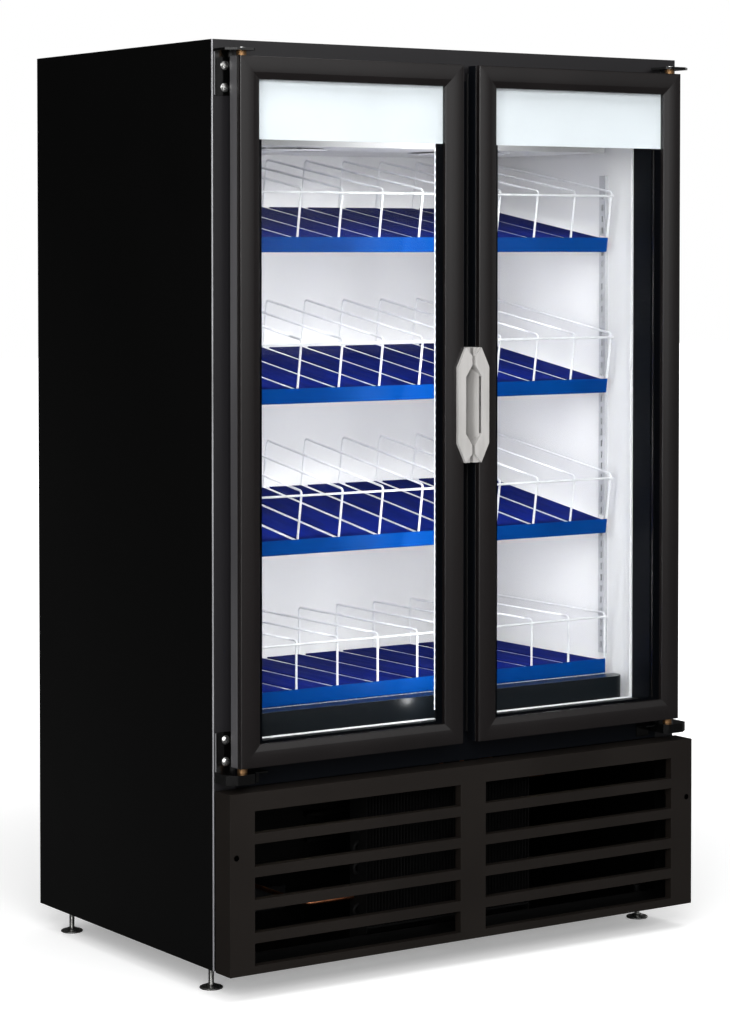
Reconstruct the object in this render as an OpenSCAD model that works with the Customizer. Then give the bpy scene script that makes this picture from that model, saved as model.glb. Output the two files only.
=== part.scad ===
// Two-door reach-in cooler: glass doors, gravity-feed wire shelves and a machine compartment below.
// Millimetres. The origin is on the floor, under the centre of the outer box. Doors face -Y, +Z is up.
// Sizes in the modules are measured from the cabinet's front plane and from its lower edge.

/* [Cabinet] */
// Width over the side panels
cab_w = 1200; // [1160:10:1320]
// Depth of the cabinet behind its front plane
cab_d = 745; // [725:5:820]
// Height of the cabinet above its feet
cab_h = 1870; // [1760:10:1990]
// Thickness of the sheet steel
skin_t = 1.2; // [0.8:0.1:1.4]
// Width of a side panel's return on the front
side_return = 52; // [48:1:58]
// Thickness of the foamed side and back walls
wall_t = 55; // [50:1:58]
// Height of the machine compartment
machine_h = 380; // [370:5:400]
// Thickness of the foamed floor
floor_t = 60; // [50:1:70]

/* [Front opening] */
// Width of the black jamb between a side panel's return and the opening
jamb_w = 18; // [14:1:24]
// Depth of the black collar round the opening
collar_d = 60; // [50:1:65]
// Height of the black rail above the foamed floor's underside
rail_h = 68; // [66:1:72]
// Half width of the centre mullion
mullion_half = 38; // [36:1:40]

/* [Doors] */
// Gap between a door's hinge edge and the cabinet's side
door_inset = 32; // [30:1:36]
// Gap between the two doors
door_gap = 40; // [36:1:44]
// Gap between the doors and the cabinet's top edge
door_top_gap = 34; // [32:1:40]
// Gap between the doors and the machine compartment's top
door_low_gap = 33; // [30:1:36]
// Thickness of a door frame
door_t = 42; // [40:1:46]
// Width of a door frame's rails
rail_w = 46; // [42:1:52]
// Thickness of a glass pane
pane_t = 4; // [3:0.5:5]
// Height of the white band behind the top of the glass
band_h = 119; // [90:1:140]
// Depth of the door gasket
gasket_d = 15; // [12:1:16]

/* [Handles] */
// Distance between a handle's two points
handle_h = 242; // [220:2:300]
// Height of the handles' middle above the cabinet's lower edge
handle_z = 1125; // [1000:5:1200]
// Width of a handle on the door's face
handle_face = 20; // [18:1:24]
// How far a handle stands proud of the door
handle_proud = 8; // [7:0.5:10]

/* [Grille] */
// Distance from the cabinet's front plane to the grille's face
grille_reach = 65; // [60:1:70]
// Height of one air slot
slot_h = 45.5; // [40:0.5:48]
// Distance from one air slot to the next
slot_pitch = 66.7; // [64:0.1:67]
// Number of air slots in a column
slot_rows = 5; // [3:1:5]
// Depth of the bars between the slots
bar_d = 20; // [14:1:26]

/* [Shelves] */
// Height from the top shelf's front strip to the evaporator cover
top_space = 189.5; // [188:0.5:200]
// Height of the lowest shelf's front strip above the foamed floor
first_shelf = 88; // [86:1:92]
// Slope of the upper shelves down to the front, in degrees
shelf_tilt = 9; // [0:1:9]
// Depth of a shelf deck
deck_d = 475; // [450:5:480]
// Distance from the cabinet's front plane to the shelves' front
shelf_y = 138; // [130:1:145]
// Height of the blue front strip
strip_h = 33; // [28:1:36]
// Number of product lanes on a shelf
lane_count = 10; // [8:1:12]
// Height of the lane dividers above the glide mats
divider_h = 108; // [80:1:110]
// Radius of the dividers' wire
wire_r = 2.5; // [2:0.1:3]
// Gap between two glide mats
mat_gap = 18; // [14:1:24]

/* [Feet] */
// Height of the feet below the cabinet
foot_h = 55; // [45:1:70]
// Radius of a foot's sole
foot_r = 24; // [20:1:28]
// Radius of a foot's stem
stem_r = 6; // [5:0.5:8]

/* [Hinges] */
// Radius of the hinge pins
pin_r = 5; // [4:0.5:6]
// Distance from a door's hinge edge to its pin
pin_inset = 15; // [14:1:18]
// Thickness of the top hinge's arm
arm_t = 5; // [4:0.5:6]
// Height of the bottom hinge's arm
low_arm_h = 20; // [16:1:22]

/* [Hidden] */
$fn = 48;

// Clearances
seam = 0.2;          // between two sheets or rails that meet edge to edge
seat = 0.3;          // between two pieces, one of which rests on the other
run_fit = 0.05;      // radial, between a pin or shaft and its bush
press = 0.02;        // radial, between a bush or pin and the piece that holds it
cut = 1;             // how far a cutting solid passes its face
shelf_count = 4;     // one node each for the deck and the dividers of a shelf
rear_return = 18;    // width of a side panel's return on the back

// Places worked out from the driving sizes
half_w = cab_w / 2;
in_half = half_w - skin_t - seam / 2;             // edge of the sheets between the side panels
in_back = cab_d - skin_t;                         // inside of the back panel
front_reach = max(grille_reach, gasket_d + door_t + handle_proud);
front_y = -(cab_d - front_reach) / 2;             // the cabinet's front plane in the part's frame
open_half = half_w - side_return - jamb_w;        // half width of the front opening
frame_half = half_w - side_return;                // outer edge of the face frame
floor_z = machine_h + floor_t;                    // inside floor of the food compartment
sill_z = machine_h + rail_h;                      // lower edge of the front opening
ceil_z = cab_h - wall_t;                          // inside ceiling
head_z = ceil_z - jamb_w + 3;                     // upper edge of the front opening
wall_x = half_w - wall_t;                         // inside face of the liner's side walls
back_y = in_back - wall_t + skin_t;               // inside face of the liner's back wall
frame_top = head_z + 6;                           // upper edge of the face frame
frame_low = machine_h - 14;                       // lower edge of the face frame

door_back = -gasket_d;
door_face = -gasket_d - door_t;
door_out = half_w - door_inset;                   // hinge edge of a door
door_in = door_gap / 2;                           // free edge of a door
door_low = machine_h + door_low_gap;
door_top = cab_h - door_top_gap;
pin_x = door_out - pin_inset;
pin_y = door_back - door_t / 2;
bush_r = pin_r + 3;
bush_flange_r = pin_r + 5;
bush_l = 24;

glass_in = 12;                                    // how far the glass reaches into the rails
groove_front = door_face + 13;                    // front side of the glass groove
groove_back = door_back - 5;                      // rear side of the glass groove
bevel_w = 14;
bevel_d = 7;

gasket_w = 14;
gasket_out = pin_x - 1;                           // hinge side edge of a gasket, inside the pin's line
gasket_in = door_in + 3;
gasket_end = 14;                                  // gasket to the door's upper and lower edge

grille_top = machine_h - 14;
grille_low = -1;
grille_gap = 8;
grille_t = 3;
slot_out = half_w - 58.5;                         // outer end of the air slots
slot_in = 32.5;                                   // inner end of the air slots
slot_first = grille_top - 38;                     // upper edge of the first slot
grille_screw_z = grille_top - 128;
grille_screw_x = half_w - 15.2;

evap_h = 148;                                     // height of the evaporator cover
evap_low = ceil_z - evap_h;                       // underside of the evaporator cover

pilaster_w = 21;
pilaster_t = 9;
pilaster_front = 178.5;                           // middle of the front pilasters
pilaster_back = back_y - 90;                      // middle of the rear pilasters
pilaster_low = floor_z + 95;
pilaster_top = evap_low - 50;
shelf_pitch = (evap_low - top_space - floor_z - first_shelf) / (shelf_count - 1);
lane_half = wall_x - 28;                          // outermost divider
lane_pitch = 2 * lane_half / lane_count;
mat_t = 3;
mat_n = strip_h - 6;                              // underside of the mats above the strip's lower edge
rod_r = 2.5;
rod_n = mat_n - rod_r;                            // rods that carry the mats
low_rod_n = rod_n - 3;
side_rod_r = 3;
lane_rod_r = 1.8;
bend_r = 8;                                       // bends of the dividers' wire
rail_drop = bend_r;                               // front rail below the dividers' top wires
post_s = 4.5;                                     // dividers' front posts behind the strip's face

evap_front = 150;
evap_half = wall_x - 25;
evap_fan_x = evap_half - 280;
evap_fan_y = 330;
evap_fan_r = 100;
evap_motor_r = 32;
evap_shaft_r = 3;
coil_y = evap_fan_y + evap_fan_r + 50;             // front of the evaporator coil
coil_d = 90;
coil_half = evap_half - 120;
coil_h = 120;
knob_x = evap_half - 40;
knob_z = evap_low + 76;
switch_x = knob_x - 60;
vent_pitch = 100;                                 // air slots in the front of the evaporator cover
vent_w = 80;
vent_first = 60 - evap_half;
vent_columns = floor((switch_x - vent_first) / vent_pitch);

foot_x = half_w - 40;
foot_y = 75;
pan_t = 2;
boss_h = 22;
boss_r = stem_r + 6;
sole_h = 9;

cond_half = 210;
cond_low = 34;
cond_top = 316;
cond_y = 22;
cond_d = 62;
fan_r = 118;
fan_z = (cond_low + cond_top) / 2;
fan_y = cond_y + cond_d + 46;
shaft_r = 4;
motor_y = fan_y + 24;

comp_x = half_w - 270;                            // compressor
comp_y = 470;
comp_r = 88;
comp_seam_z = 118;
comp_plate = [210, 160];
comp_plate_z = 18;
comp_foot = [92, 66];
stub_x = 30;
stub_top = pan_t + seat + 220;

drain_x = 120 - half_w;                           // outer end of the drain pan
drain_y = 390;
drain_size = [300, 230, 52 - pan_t - seat];
box_x = 60 - half_w;                              // outer end of the control box
box_y = 130;
box_size = [120, 100, 190 - pan_t - seat];

pipe_r = 5;                                       // refrigerant lines
pipe_turn = 16;
pipe_x = 130 - half_w;
pipe_dx = 8;
pipe_y = back_y + 25;
pipe_top = evap_low + 70;
chase_w = 40;

sill_gap = 10;                                    // sill box behind the collar
sill_d = 44;
sill_h = 58;

function deck_tilt(level) = level == 0 ? 0 : shelf_tilt;
function strip_low(level) = floor_z + first_shelf - strip_h + level * shelf_pitch;
function arc(cx, cy, r, a0, a1, steps) =
    [for (i = [0 : steps]) let (a = a0 + (a1 - a0) * i / steps) [cx + r * cos(a), cy + r * sin(a)]];

// Moves children from the cabinet's own frame to the part's frame
module on_body() translate([0, front_y, foot_h]) children();

// A box given by its two corners
module block(low, high) translate(low) cube(high - low);

// Children once as drawn and once mirrored to the other side of the cabinet
module both_sides() {
    children();
    mirror([1, 0, 0]) children();
}

// Children for the left (-1) or the right (+1) side; the right side is the one drawn
module on_side(side) {
    if (side > 0) children();
    else mirror([1, 0, 0]) children();
}

// One rail that stands on its mitred end: its section lies in X (inwards) and Y
module mitred_rail(length, width) {
    far = 400;
    intersection() {
        linear_extrude(length) children();
        translate([0, far, 0]) rotate([90, 0, 0]) linear_extrude(2 * far)
            polygon([[0, seam / 2], [0, length - seam / 2],
                [width, length - width - seam / 2], [width, width + seam / 2]]);
    }
}

// Four mitred rails round the rectangle x0..x1, z0..z1
module mitred_frame(x0, z0, x1, z1, width) {
    translate([x0, 0, z0]) mitred_rail(z1 - z0, width) children();
    translate([x1, 0, z1]) rotate([0, 180, 0]) mitred_rail(z1 - z0, width) children();
    translate([x1, 0, z0]) rotate([0, -90, 0]) mitred_rail(x1 - x0, width) children();
    translate([x0, 0, z1]) rotate([0, 90, 0]) mitred_rail(x1 - x0, width) children();
}

// Cabinet shell

module side_profile() {
    bend = 3;
    difference() {
        polygon(concat(
            [[half_w - side_return, 0]],
            arc(half_w - bend, bend, bend, -90, 0, 6),
            [[half_w, cab_d], [half_w - rear_return, cab_d]]));
        polygon(concat(
            [[half_w - side_return - cut, skin_t]],
            arc(half_w - bend, bend, bend - skin_t, -90, 0, 6),
            [[half_w - skin_t, in_back], [half_w - rear_return - cut, in_back],
            [half_w - rear_return - cut, cab_d - side_return]]));
        translate([half_w - side_return - 2 * cut, skin_t])
            square([side_return - rear_return + cut, cab_d]);
    }
}

module side_panel(side) {
    color([0.03, 0.03, 0.03]) on_body() on_side(side)
        linear_extrude(cab_h) side_profile();
}

module top_panel() {
    hem = 14;
    color([0.04, 0.04, 0.04]) on_body() difference() {
        block([-in_half, skin_t + seam / 2, cab_h - hem], [in_half, in_back, cab_h]);
        block([-in_half + skin_t, 3 * skin_t, cab_h - hem - cut],
            [in_half - skin_t, in_back - skin_t, cab_h - skin_t]);
    }
}

module back_panel() {
    color([0.05, 0.05, 0.05]) on_body()
        block([-half_w + rear_return + seam, in_back, machine_h],
            [half_w - rear_return - seam, cab_d, cab_h]);
}

module header_panel() {
    color([0.04, 0.04, 0.04]) on_body()
        block([-frame_half + seam, 0, frame_top + seam], [frame_half - seam, skin_t, cab_h]);
}

// Section of a jamb: a flange on the front and a wall into the opening
module jamb_section(flange) {
    square([flange, skin_t]);
    translate([flange - 1.5, 0]) square([1.5, collar_d]);
}

module face_frame() {
    color([0.04, 0.04, 0.045]) on_body() {
        both_sides() translate([frame_half - seam, 0, sill_z + seam]) mirror([1, 0, 0])
            linear_extrude(head_z - sill_z - 2 * seam) jamb_section(jamb_w - seam);
        block([-frame_half + seam, 0, head_z], [frame_half - seam, skin_t, frame_top]);
        block([-open_half, skin_t, head_z], [open_half, collar_d, head_z + 1.5]);
        block([-frame_half + seam, 0, frame_low], [frame_half - seam, skin_t, sill_z]);
        block([-open_half, skin_t, sill_z - 1.5], [open_half, collar_d, sill_z]);
    }
}

// Foam between the shell and the liner, with the chase for the refrigerant pipes
module insulation() {
    color([0.93, 0.87, 0.66]) on_body() difference() {
        block([-in_half + seat, 2 * skin_t, machine_h + skin_t],
            [in_half - seat, in_back - seat, cab_h - 16]);
        block([-wall_x - skin_t - seat, collar_d - seat, floor_z - skin_t - seat],
            [wall_x + skin_t + seat, back_y + skin_t + seat, ceil_z + skin_t + seat]);
        block([-open_half - 1.5 - seat, -cut, sill_z - 1.5 - seat],
            [open_half + 1.5 + seat, collar_d + cut, head_z + 1.5 + seat]);
        block([pipe_x - chase_w / 2, back_y, machine_h - cut],
            [pipe_x + chase_w / 2, in_back - 10, pipe_top + 20]);
    }
}

// White inner box: floor, ceiling, two sides and back, with a lip behind the collar
module liner() {
    color([0.93, 0.93, 0.95]) on_body() {
        both_sides() {
            block([wall_x, collar_d, floor_z], [wall_x + skin_t, back_y - seam, ceil_z]);
            block([open_half, collar_d, floor_z], [wall_x, collar_d + skin_t, ceil_z]);
        }
        difference() {
            block([-wall_x - skin_t, back_y, floor_z - skin_t],
                [wall_x + skin_t, back_y + skin_t, ceil_z + skin_t]);
            for (dx = [-pipe_dx, pipe_dx]) translate([pipe_x + dx, back_y + 5, pipe_top])
                rotate([90, 0, 0]) cylinder(r = pipe_r + 1, h = 10);
        }
        block([-wall_x, collar_d, ceil_z + seam], [wall_x, back_y - seam, ceil_z + skin_t]);
        block([-open_half + seam, collar_d, head_z], [open_half - seam, collar_d + skin_t, ceil_z]);
        block([-wall_x, collar_d, floor_z - skin_t], [wall_x, back_y - seam, floor_z - seam]);
        block([-open_half + seam, collar_d, floor_z], [open_half - seam, collar_d + skin_t, sill_z]);
    }
}

module base_pan() {
    lip = 24;
    color([0.08, 0.08, 0.085]) on_body() difference() {
        union() {
            block([-in_half, 2 * skin_t, 0], [in_half, in_back, pan_t]);
            block([-in_half, 2 * skin_t, 0], [in_half, 2 * skin_t + pan_t, lip]);
            block([-in_half, in_back - pan_t, 0], [in_half, in_back, lip]);
            both_sides() for (y = [foot_y, cab_d - foot_y])
                translate([foot_x, y, 0]) cylinder(r = boss_r, h = boss_h);
        }
        both_sides() for (y = [foot_y, cab_d - foot_y])
            translate([foot_x, y, -cut]) cylinder(r = stem_r + run_fit, h = boss_h + 2 * cut);
    }
}

module rear_grille() {
    rows = 9;
    slot = 8;
    color([0.06, 0.06, 0.06]) on_body() difference() {
        block([-half_w + rear_return + seam, in_back, 4],
            [half_w - rear_return - seam, cab_d, machine_h - seam]);
        for (row = [0 : rows - 1], column = [-1, 1])
            translate([column * 280 - 180, in_back - cut, 60 + row * 30])
                cube([360, skin_t + 2 * cut, slot]);
    }
}

// A foot: domed sole, hexagonal adjusting collar and stem up into its boss
module foot() {
    rotate_extrude() polygon(concat(
        [[0, 0], [foot_r - 1, 0], [foot_r, 1], [foot_r, 4]],
        [[foot_r - 3, 6.5], [stem_r + 4, sole_h], [stem_r, sole_h]],
        [[stem_r, foot_h + boss_h - 3], [stem_r - 1, foot_h + boss_h - 2], [0, foot_h + boss_h - 2]]));
    translate([0, 0, foot_h - 8]) cylinder(r = stem_r + 4, h = 8 - seat, $fn = 6);
}

module leveling_feet() {
    color([0.75, 0.75, 0.73]) on_body() both_sides()
        for (y = [foot_y, cab_d - foot_y]) translate([foot_x, y, -foot_h]) foot();
}

module mullion() {
    spine = 14;
    color([0.04, 0.04, 0.045]) on_body() {
        block([-mullion_half, 0, sill_z], [mullion_half, 8, head_z]);
        block([-spine, 8, sill_z], [spine, collar_d - 4, head_z]);
    }
}

// Lamps beside the mullion: a channel with a rounded lens
module led_strips() {
    lens_r = 4;
    color([0.97, 0.98, 1]) on_body() both_sides()
        translate([mullion_half, 3, sill_z + 30]) linear_extrude(head_z - sill_z - 60)
            polygon(concat([[0, 0], [lens_r, 0]], arc(lens_r, lens_r, lens_r, -90, 0, 6),
                [[2 * lens_r, 12], [0, 12]]));
}

// Outline of the sill box seen from above, with round front corners
module sill_outline(half, r, depth) {
    polygon(concat([[-half, depth]], arc(r - half, r, r, 180, 270, 8),
        arc(half - r, r, r, 270, 360, 8), [[half, depth]]));
}

// Box along the sill, open at its back and underside
module sill_cover() {
    half = open_half - 9;
    end_r = 30;
    wall = 2;
    color([0.05, 0.055, 0.06]) on_body() translate([0, collar_d + sill_gap, floor_z]) difference() {
        linear_extrude(sill_h) sill_outline(half, end_r, sill_d);
        translate([0, wall, -cut]) linear_extrude(sill_h - wall + cut)
            sill_outline(half - wall, end_r - wall, sill_d);
    }
}

// Shelving

module pilaster() {
    slot = [4, 14];
    pitch = 25.4;
    slots = floor((pilaster_top - pilaster_low - 20) / pitch);
    difference() {
        block([wall_x - pilaster_t, -pilaster_w / 2, pilaster_low],
            [wall_x, pilaster_w / 2, pilaster_top]);
        block([wall_x - pilaster_t + 1.5, -pilaster_w / 2 + 1.5, pilaster_low - cut],
            [wall_x + cut, pilaster_w / 2 - 1.5, pilaster_top + cut]);
        for (i = [0 : slots - 1])
            translate([wall_x - pilaster_t - cut, -slot[0] / 2, pilaster_low + 12 + i * pitch])
                cube([1.5 + 2 * cut, slot[0], slot[1]]);
    }
}

module pilasters() {
    color([0.88, 0.88, 0.9]) on_body() both_sides()
        for (y = [pilaster_front, pilaster_back]) translate([0, y, 0]) pilaster();
}

// Children in a shelf's own frame: X across, Y along the deck, Z square to it
module on_shelf(level) {
    translate([0, shelf_y, strip_low(level)]) rotate([deck_tilt(level), 0, 0]) children();
}

// A hook with a tab under the deck's side rod: in the pilaster, or on the wall at the lowest shelf
module shelf_clip(level, y) {
    tilt = deck_tilt(level);
    under = low_rod_n - side_rod_r - seat;
    s = (y - shelf_y + under * sin(tilt)) / cos(tilt);
    face = level == 0 ? wall_x - seam : wall_x - pilaster_t - seam;
    translate([face - 2, s - 7, under - 14]) cube([2, 14, 26]);
    translate([lane_half - 5, s - 7, under - 3]) cube([face - lane_half + 5, 14, 3]);
}

module shelf_clips() {
    color([0.9, 0.9, 0.92]) on_body() for (level = [0 : shelf_count - 1])
        both_sides() on_shelf(level)
            for (y = [pilaster_front, pilaster_back]) shelf_clip(level, y);
}

module rod(length, r) rotate([0, 90, 0]) cylinder(r = r, h = length, center = true);

module long_rod(length, r) rotate([-90, 0, 0]) cylinder(r = r, h = length);

// Welded wire deck: side rods, rods along the lanes and rods across
module shelf_deck(level) {
    wires = 2 * lane_count;
    color([0.92, 0.92, 0.94]) on_body() on_shelf(level) union() {
        for (s = [post_s, deck_d]) translate([0, s, rod_n]) rod(2 * lane_half, rod_r);
        for (s = [0.2, 0.5, 0.8]) translate([0, deck_d * s, low_rod_n]) rod(2 * lane_half, rod_r);
        both_sides() translate([lane_half, post_s - rod_r, low_rod_n])
            long_rod(deck_d - post_s + 2 * rod_r, side_rod_r);
        for (i = [1 : wires - 1])
            translate([-lane_half + i * lane_pitch / 2, post_s, mat_n - seat - lane_rod_r])
                long_rod(deck_d - post_s, lane_rod_r);
    }
}

// One divider: front post, top wire and rear post with round bends
module divider() {
    top = mat_n + mat_t + divider_h - wire_r;
    foot_n = mat_n + seat;
    translate([0, post_s, foot_n]) cylinder(r = wire_r, h = top - bend_r - foot_n);
    translate([0, deck_d, foot_n]) cylinder(r = wire_r, h = top - bend_r - foot_n);
    translate([0, post_s + bend_r, top]) long_rod(deck_d - post_s - 2 * bend_r, wire_r);
    translate([0, post_s + bend_r, top - bend_r]) rotate([0, -90, 0])
        rotate_extrude(angle = -90) translate([bend_r, 0]) circle(r = wire_r);
    translate([0, deck_d - bend_r, top - bend_r]) rotate([0, -90, 0])
        rotate_extrude(angle = 90) translate([bend_r, 0]) circle(r = wire_r);
}

module shelf_dividers(level) {
    top = mat_n + mat_t + divider_h - wire_r;
    color([0.95, 0.95, 0.96]) on_body() on_shelf(level) {
        for (i = [0 : lane_count]) translate([-lane_half + i * lane_pitch, 0, 0]) divider();
        translate([0, post_s - 2 * wire_r - seam, top - rail_drop]) rod(2 * lane_half + 5, wire_r);
    }
}

// Outline of a glide mat with the toothed rear edge
module mat_outline() {
    width = lane_pitch - mat_gap;
    teeth = 12;
    step = width / teeth;
    polygon(concat([[-width / 2, 12], [width / 2, 12]],
        [for (i = [0 : teeth - 1]) each [[width / 2 - i * step, deck_d - 14],
            [width / 2 - (i + 0.5) * step, deck_d - 8]]],
        [[-width / 2, deck_d - 14]]));
}

module shelf_glides() {
    color([0.09, 0.09, 0.42]) on_body() for (level = [0 : shelf_count - 1])
        on_shelf(level) for (i = [0 : lane_count - 1])
            translate([-lane_half + (i + 0.5) * lane_pitch, 0, mat_n])
                linear_extrude(mat_t) mat_outline();
}

// Section of a front strip: a face with a round upper edge, bent back into a lip
module strip_section() {
    t = 1.5;
    bend = 3;
    lip = 11;
    polygon(concat(arc(bend, bend, bend, 180, 270, 5), [[lip, 0], [lip, t]],
        arc(bend, bend, bend - t, 270, 180, 5), arc(t / 2, strip_h - t / 2, t / 2, 0, 180, 6)));
}

module shelf_strips() {
    length = 2 * lane_half - 2;
    color([0, 0.26, 0.6]) on_body() for (level = [0 : shelf_count - 1]) on_shelf(level)
        translate([-length / 2, 0, 0]) rotate([90, 0, 90]) linear_extrude(length) strip_section();
}

// Cold side

// A finned block: fins on both faces of a core, drawn as one comb and raised
module finned_block(half, depth, height, pitch) {
    count = floor(2 * half / pitch);
    core = depth * 0.4;
    fin = 1.5;
    x0 = -((count - 1) * pitch + fin) / 2;
    linear_extrude(height) polygon(concat(
        [for (i = [0 : count - 1]) each [[x0 + i * pitch, (depth - core) / 2],
            [x0 + i * pitch, 0], [x0 + i * pitch + fin, 0],
            [x0 + i * pitch + fin, (depth - core) / 2]]],
        [for (i = [count - 1 : -1 : 0]) each [[x0 + i * pitch + fin, (depth + core) / 2],
            [x0 + i * pitch + fin, depth], [x0 + i * pitch, depth],
            [x0 + i * pitch, (depth + core) / 2]]]));
}

// Return bends on one end of a coil, each a half ring in the X-Z plane
module return_bends(x, y, low, high, pitch) {
    for (z = [low : pitch : high - pitch])
        translate([x, y, z + pitch / 4]) rotate([90, 0, 0]) rotate([0, 0, -90])
            rotate_extrude(angle = 180) translate([pitch / 4, 0]) circle(r = pipe_r - 1);
}

// A fan wheel on Z: a hub with a bore and tilted blades
module fan_wheel(r, hub_r, hub_h, blades, bore) {
    difference() {
        union() {
            cylinder(r = hub_r, h = hub_h);
            intersection() {
                difference() {
                    cylinder(r = r, h = hub_h);
                    translate([0, 0, -cut]) cylinder(r = hub_r - 2, h = hub_h + 2 * cut);
                }
                for (i = [0 : blades - 1]) rotate([0, 0, i * 360 / blades])
                    translate([0, 0, hub_h / 2]) rotate([28, 0, 0])
                        translate([hub_r - 3, -r * 0.24, -0.8]) cube([r, r * 0.48, 1.6]);
            }
        }
        translate([0, 0, -cut]) cylinder(r = bore, h = hub_h + 2 * cut);
    }
}

module evaporator_cover() {
    t = skin_t;
    low = evap_low;
    color([0.86, 0.87, 0.89]) on_body() difference() {
        union() {
            block([-evap_half, evap_front, low], [evap_half, back_y - seat, ceil_z]);
            block([switch_x - 10, evap_front - 4, knob_z - 13], [switch_x + 10, evap_front, knob_z + 13]);
        }
        block([switch_x - 7 - seat, evap_front - 5, knob_z - 10 - seat],
            [switch_x + 7 + seat, evap_front + t + cut, knob_z + 10 + seat]);
        translate([knob_x, evap_front + t + cut, knob_z]) rotate([90, 0, 0])
            cylinder(r = 3 + run_fit, h = t + 2 * cut);
        block([-evap_half + t, evap_front + t, low + t],
            [evap_half - t, back_y - seat - t, ceil_z + cut]);
        for (side = [-1, 1]) translate([side * evap_fan_x, evap_fan_y, low - cut])
            cylinder(r = evap_fan_r + 6, h = t + 2 * cut);
        for (column = [0 : vent_columns - 1], row = [0 : 3])
            translate([vent_first + column * vent_pitch, evap_front - cut, low + 40 + row * 18])
                cube([vent_w, t + 2 * cut, 8]);
        translate([pipe_x - 2 * pipe_dx, back_y - 3 * t, pipe_top - pipe_dx])
            cube([4 * pipe_dx, 4 * t, 2 * pipe_dx]);
    }
}

module evaporator_coil() {
    y = coil_y;
    z = evap_low + skin_t;
    color([0.75, 0.76, 0.78]) on_body() {
        translate([0, y, z + seat]) finned_block(coil_half, coil_d, coil_h, 10);
        both_sides() {
            block([coil_half - 5, y, z + seat], [coil_half + 2, y + coil_d, z + coil_h + 4]);
            return_bends(coil_half + 2, y + coil_d / 2, z + 10, z + coil_h - 10, 40);
        }
    }
}

// Motor above the fan opening on three arms that stand on the cover's floor
module evaporator_motor() {
    base = skin_t + seat;
    wheel = 24;
    arm_y = evap_fan_r + 12;
    translate([0, 0, base + wheel + 6]) cylinder(r = evap_motor_r, h = 38);
    translate([0, 0, base + 2]) cylinder(r = evap_shaft_r, h = wheel + 6);
    for (i = [0 : 2]) rotate([0, 0, 30 + i * 120]) {
        translate([evap_motor_r - 4, -5, base + wheel + 30]) cube([arm_y - evap_motor_r + 4, 10, 3]);
        translate([arm_y - 3, -5, base]) cube([3, 10, wheel + 33]);
    }
}

module evaporator_fan_motors() {
    color([0.2, 0.2, 0.21]) on_body() for (side = [-1, 1])
        translate([side * evap_fan_x, evap_fan_y, evap_low]) evaporator_motor();
}

module evaporator_fan(side) {
    color([0.15, 0.15, 0.16]) on_body()
        translate([side * evap_fan_x, evap_fan_y, evap_low + skin_t + 6])
            fan_wheel(evap_fan_r, 20, 20, 5, evap_shaft_r + run_fit);
}

// Machine compartment

module compressor() {
    foot_at = [for (x = [-1, 1], y = [-1, 1]) [x * comp_foot[0], y * comp_foot[1]]];
    plate_t = 6.5;
    stud_r = 4.9;
    color([0.06, 0.06, 0.065]) on_body() translate([comp_x, comp_y, pan_t + seat]) {
        rotate_extrude() polygon(concat(
            [[0, 24], [60, 24], [comp_r - 10, 34], [comp_r, 56], [comp_r, comp_seam_z]],
            [[comp_r + 3, comp_seam_z + 1], [comp_r + 3, comp_seam_z + 6], [comp_r - 1, comp_seam_z + 7]],
            arc(comp_r - 31, comp_seam_z + 32, 30, 0, 60, 5),
            [[40, comp_seam_z + 72], [0, comp_seam_z + 78]]));
        difference() {
            block([-comp_plate[0] / 2, -comp_plate[1] / 2, comp_plate_z],
                [comp_plate[0] / 2, comp_plate[1] / 2, comp_plate_z + plate_t]);
            for (at = foot_at) translate([at[0], at[1], comp_plate_z - cut])
                cylinder(r = stud_r + 0.1, h = plate_t + 2 * cut);
        }
        for (at = foot_at) translate([at[0], at[1], 0]) {
            cylinder(r = 11, h = comp_plate_z);
            cylinder(r = stud_r, h = comp_plate_z + plate_t + 6);
            translate([0, 0, comp_plate_z + plate_t]) cylinder(r = 9, h = 4);
        }
        block([-34, -comp_r - 24, 60], [34, 4 - comp_r, 120]);
        for (x = [-stub_x, stub_x]) translate([x, 0, comp_seam_z + 62])
            cylinder(r = pipe_r + 1.5, h = stub_top - pan_t - seat - comp_seam_z - 62);
    }
}

module condenser_coil() {
    color([0.1, 0.1, 0.1]) on_body() {
        translate([0, cond_y, cond_low]) finned_block(cond_half, cond_d, cond_top - cond_low, 8);
        both_sides() {
            block([cond_half + 1, cond_y, pan_t + seat],
                [cond_half + 3, cond_y + cond_d, cond_top + 4]);
            return_bends(cond_half + 3, cond_y + cond_d / 2, cond_low + 20, cond_top - 10, 44);
        }
        block([-cond_half - 1, cond_y, cond_top + 1], [cond_half + 1, cond_y + cond_d, cond_top + 4]);
        block([-cond_half - 1, cond_y, cond_low - 4], [cond_half + 1, cond_y + cond_d, cond_low]);
    }
}

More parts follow.
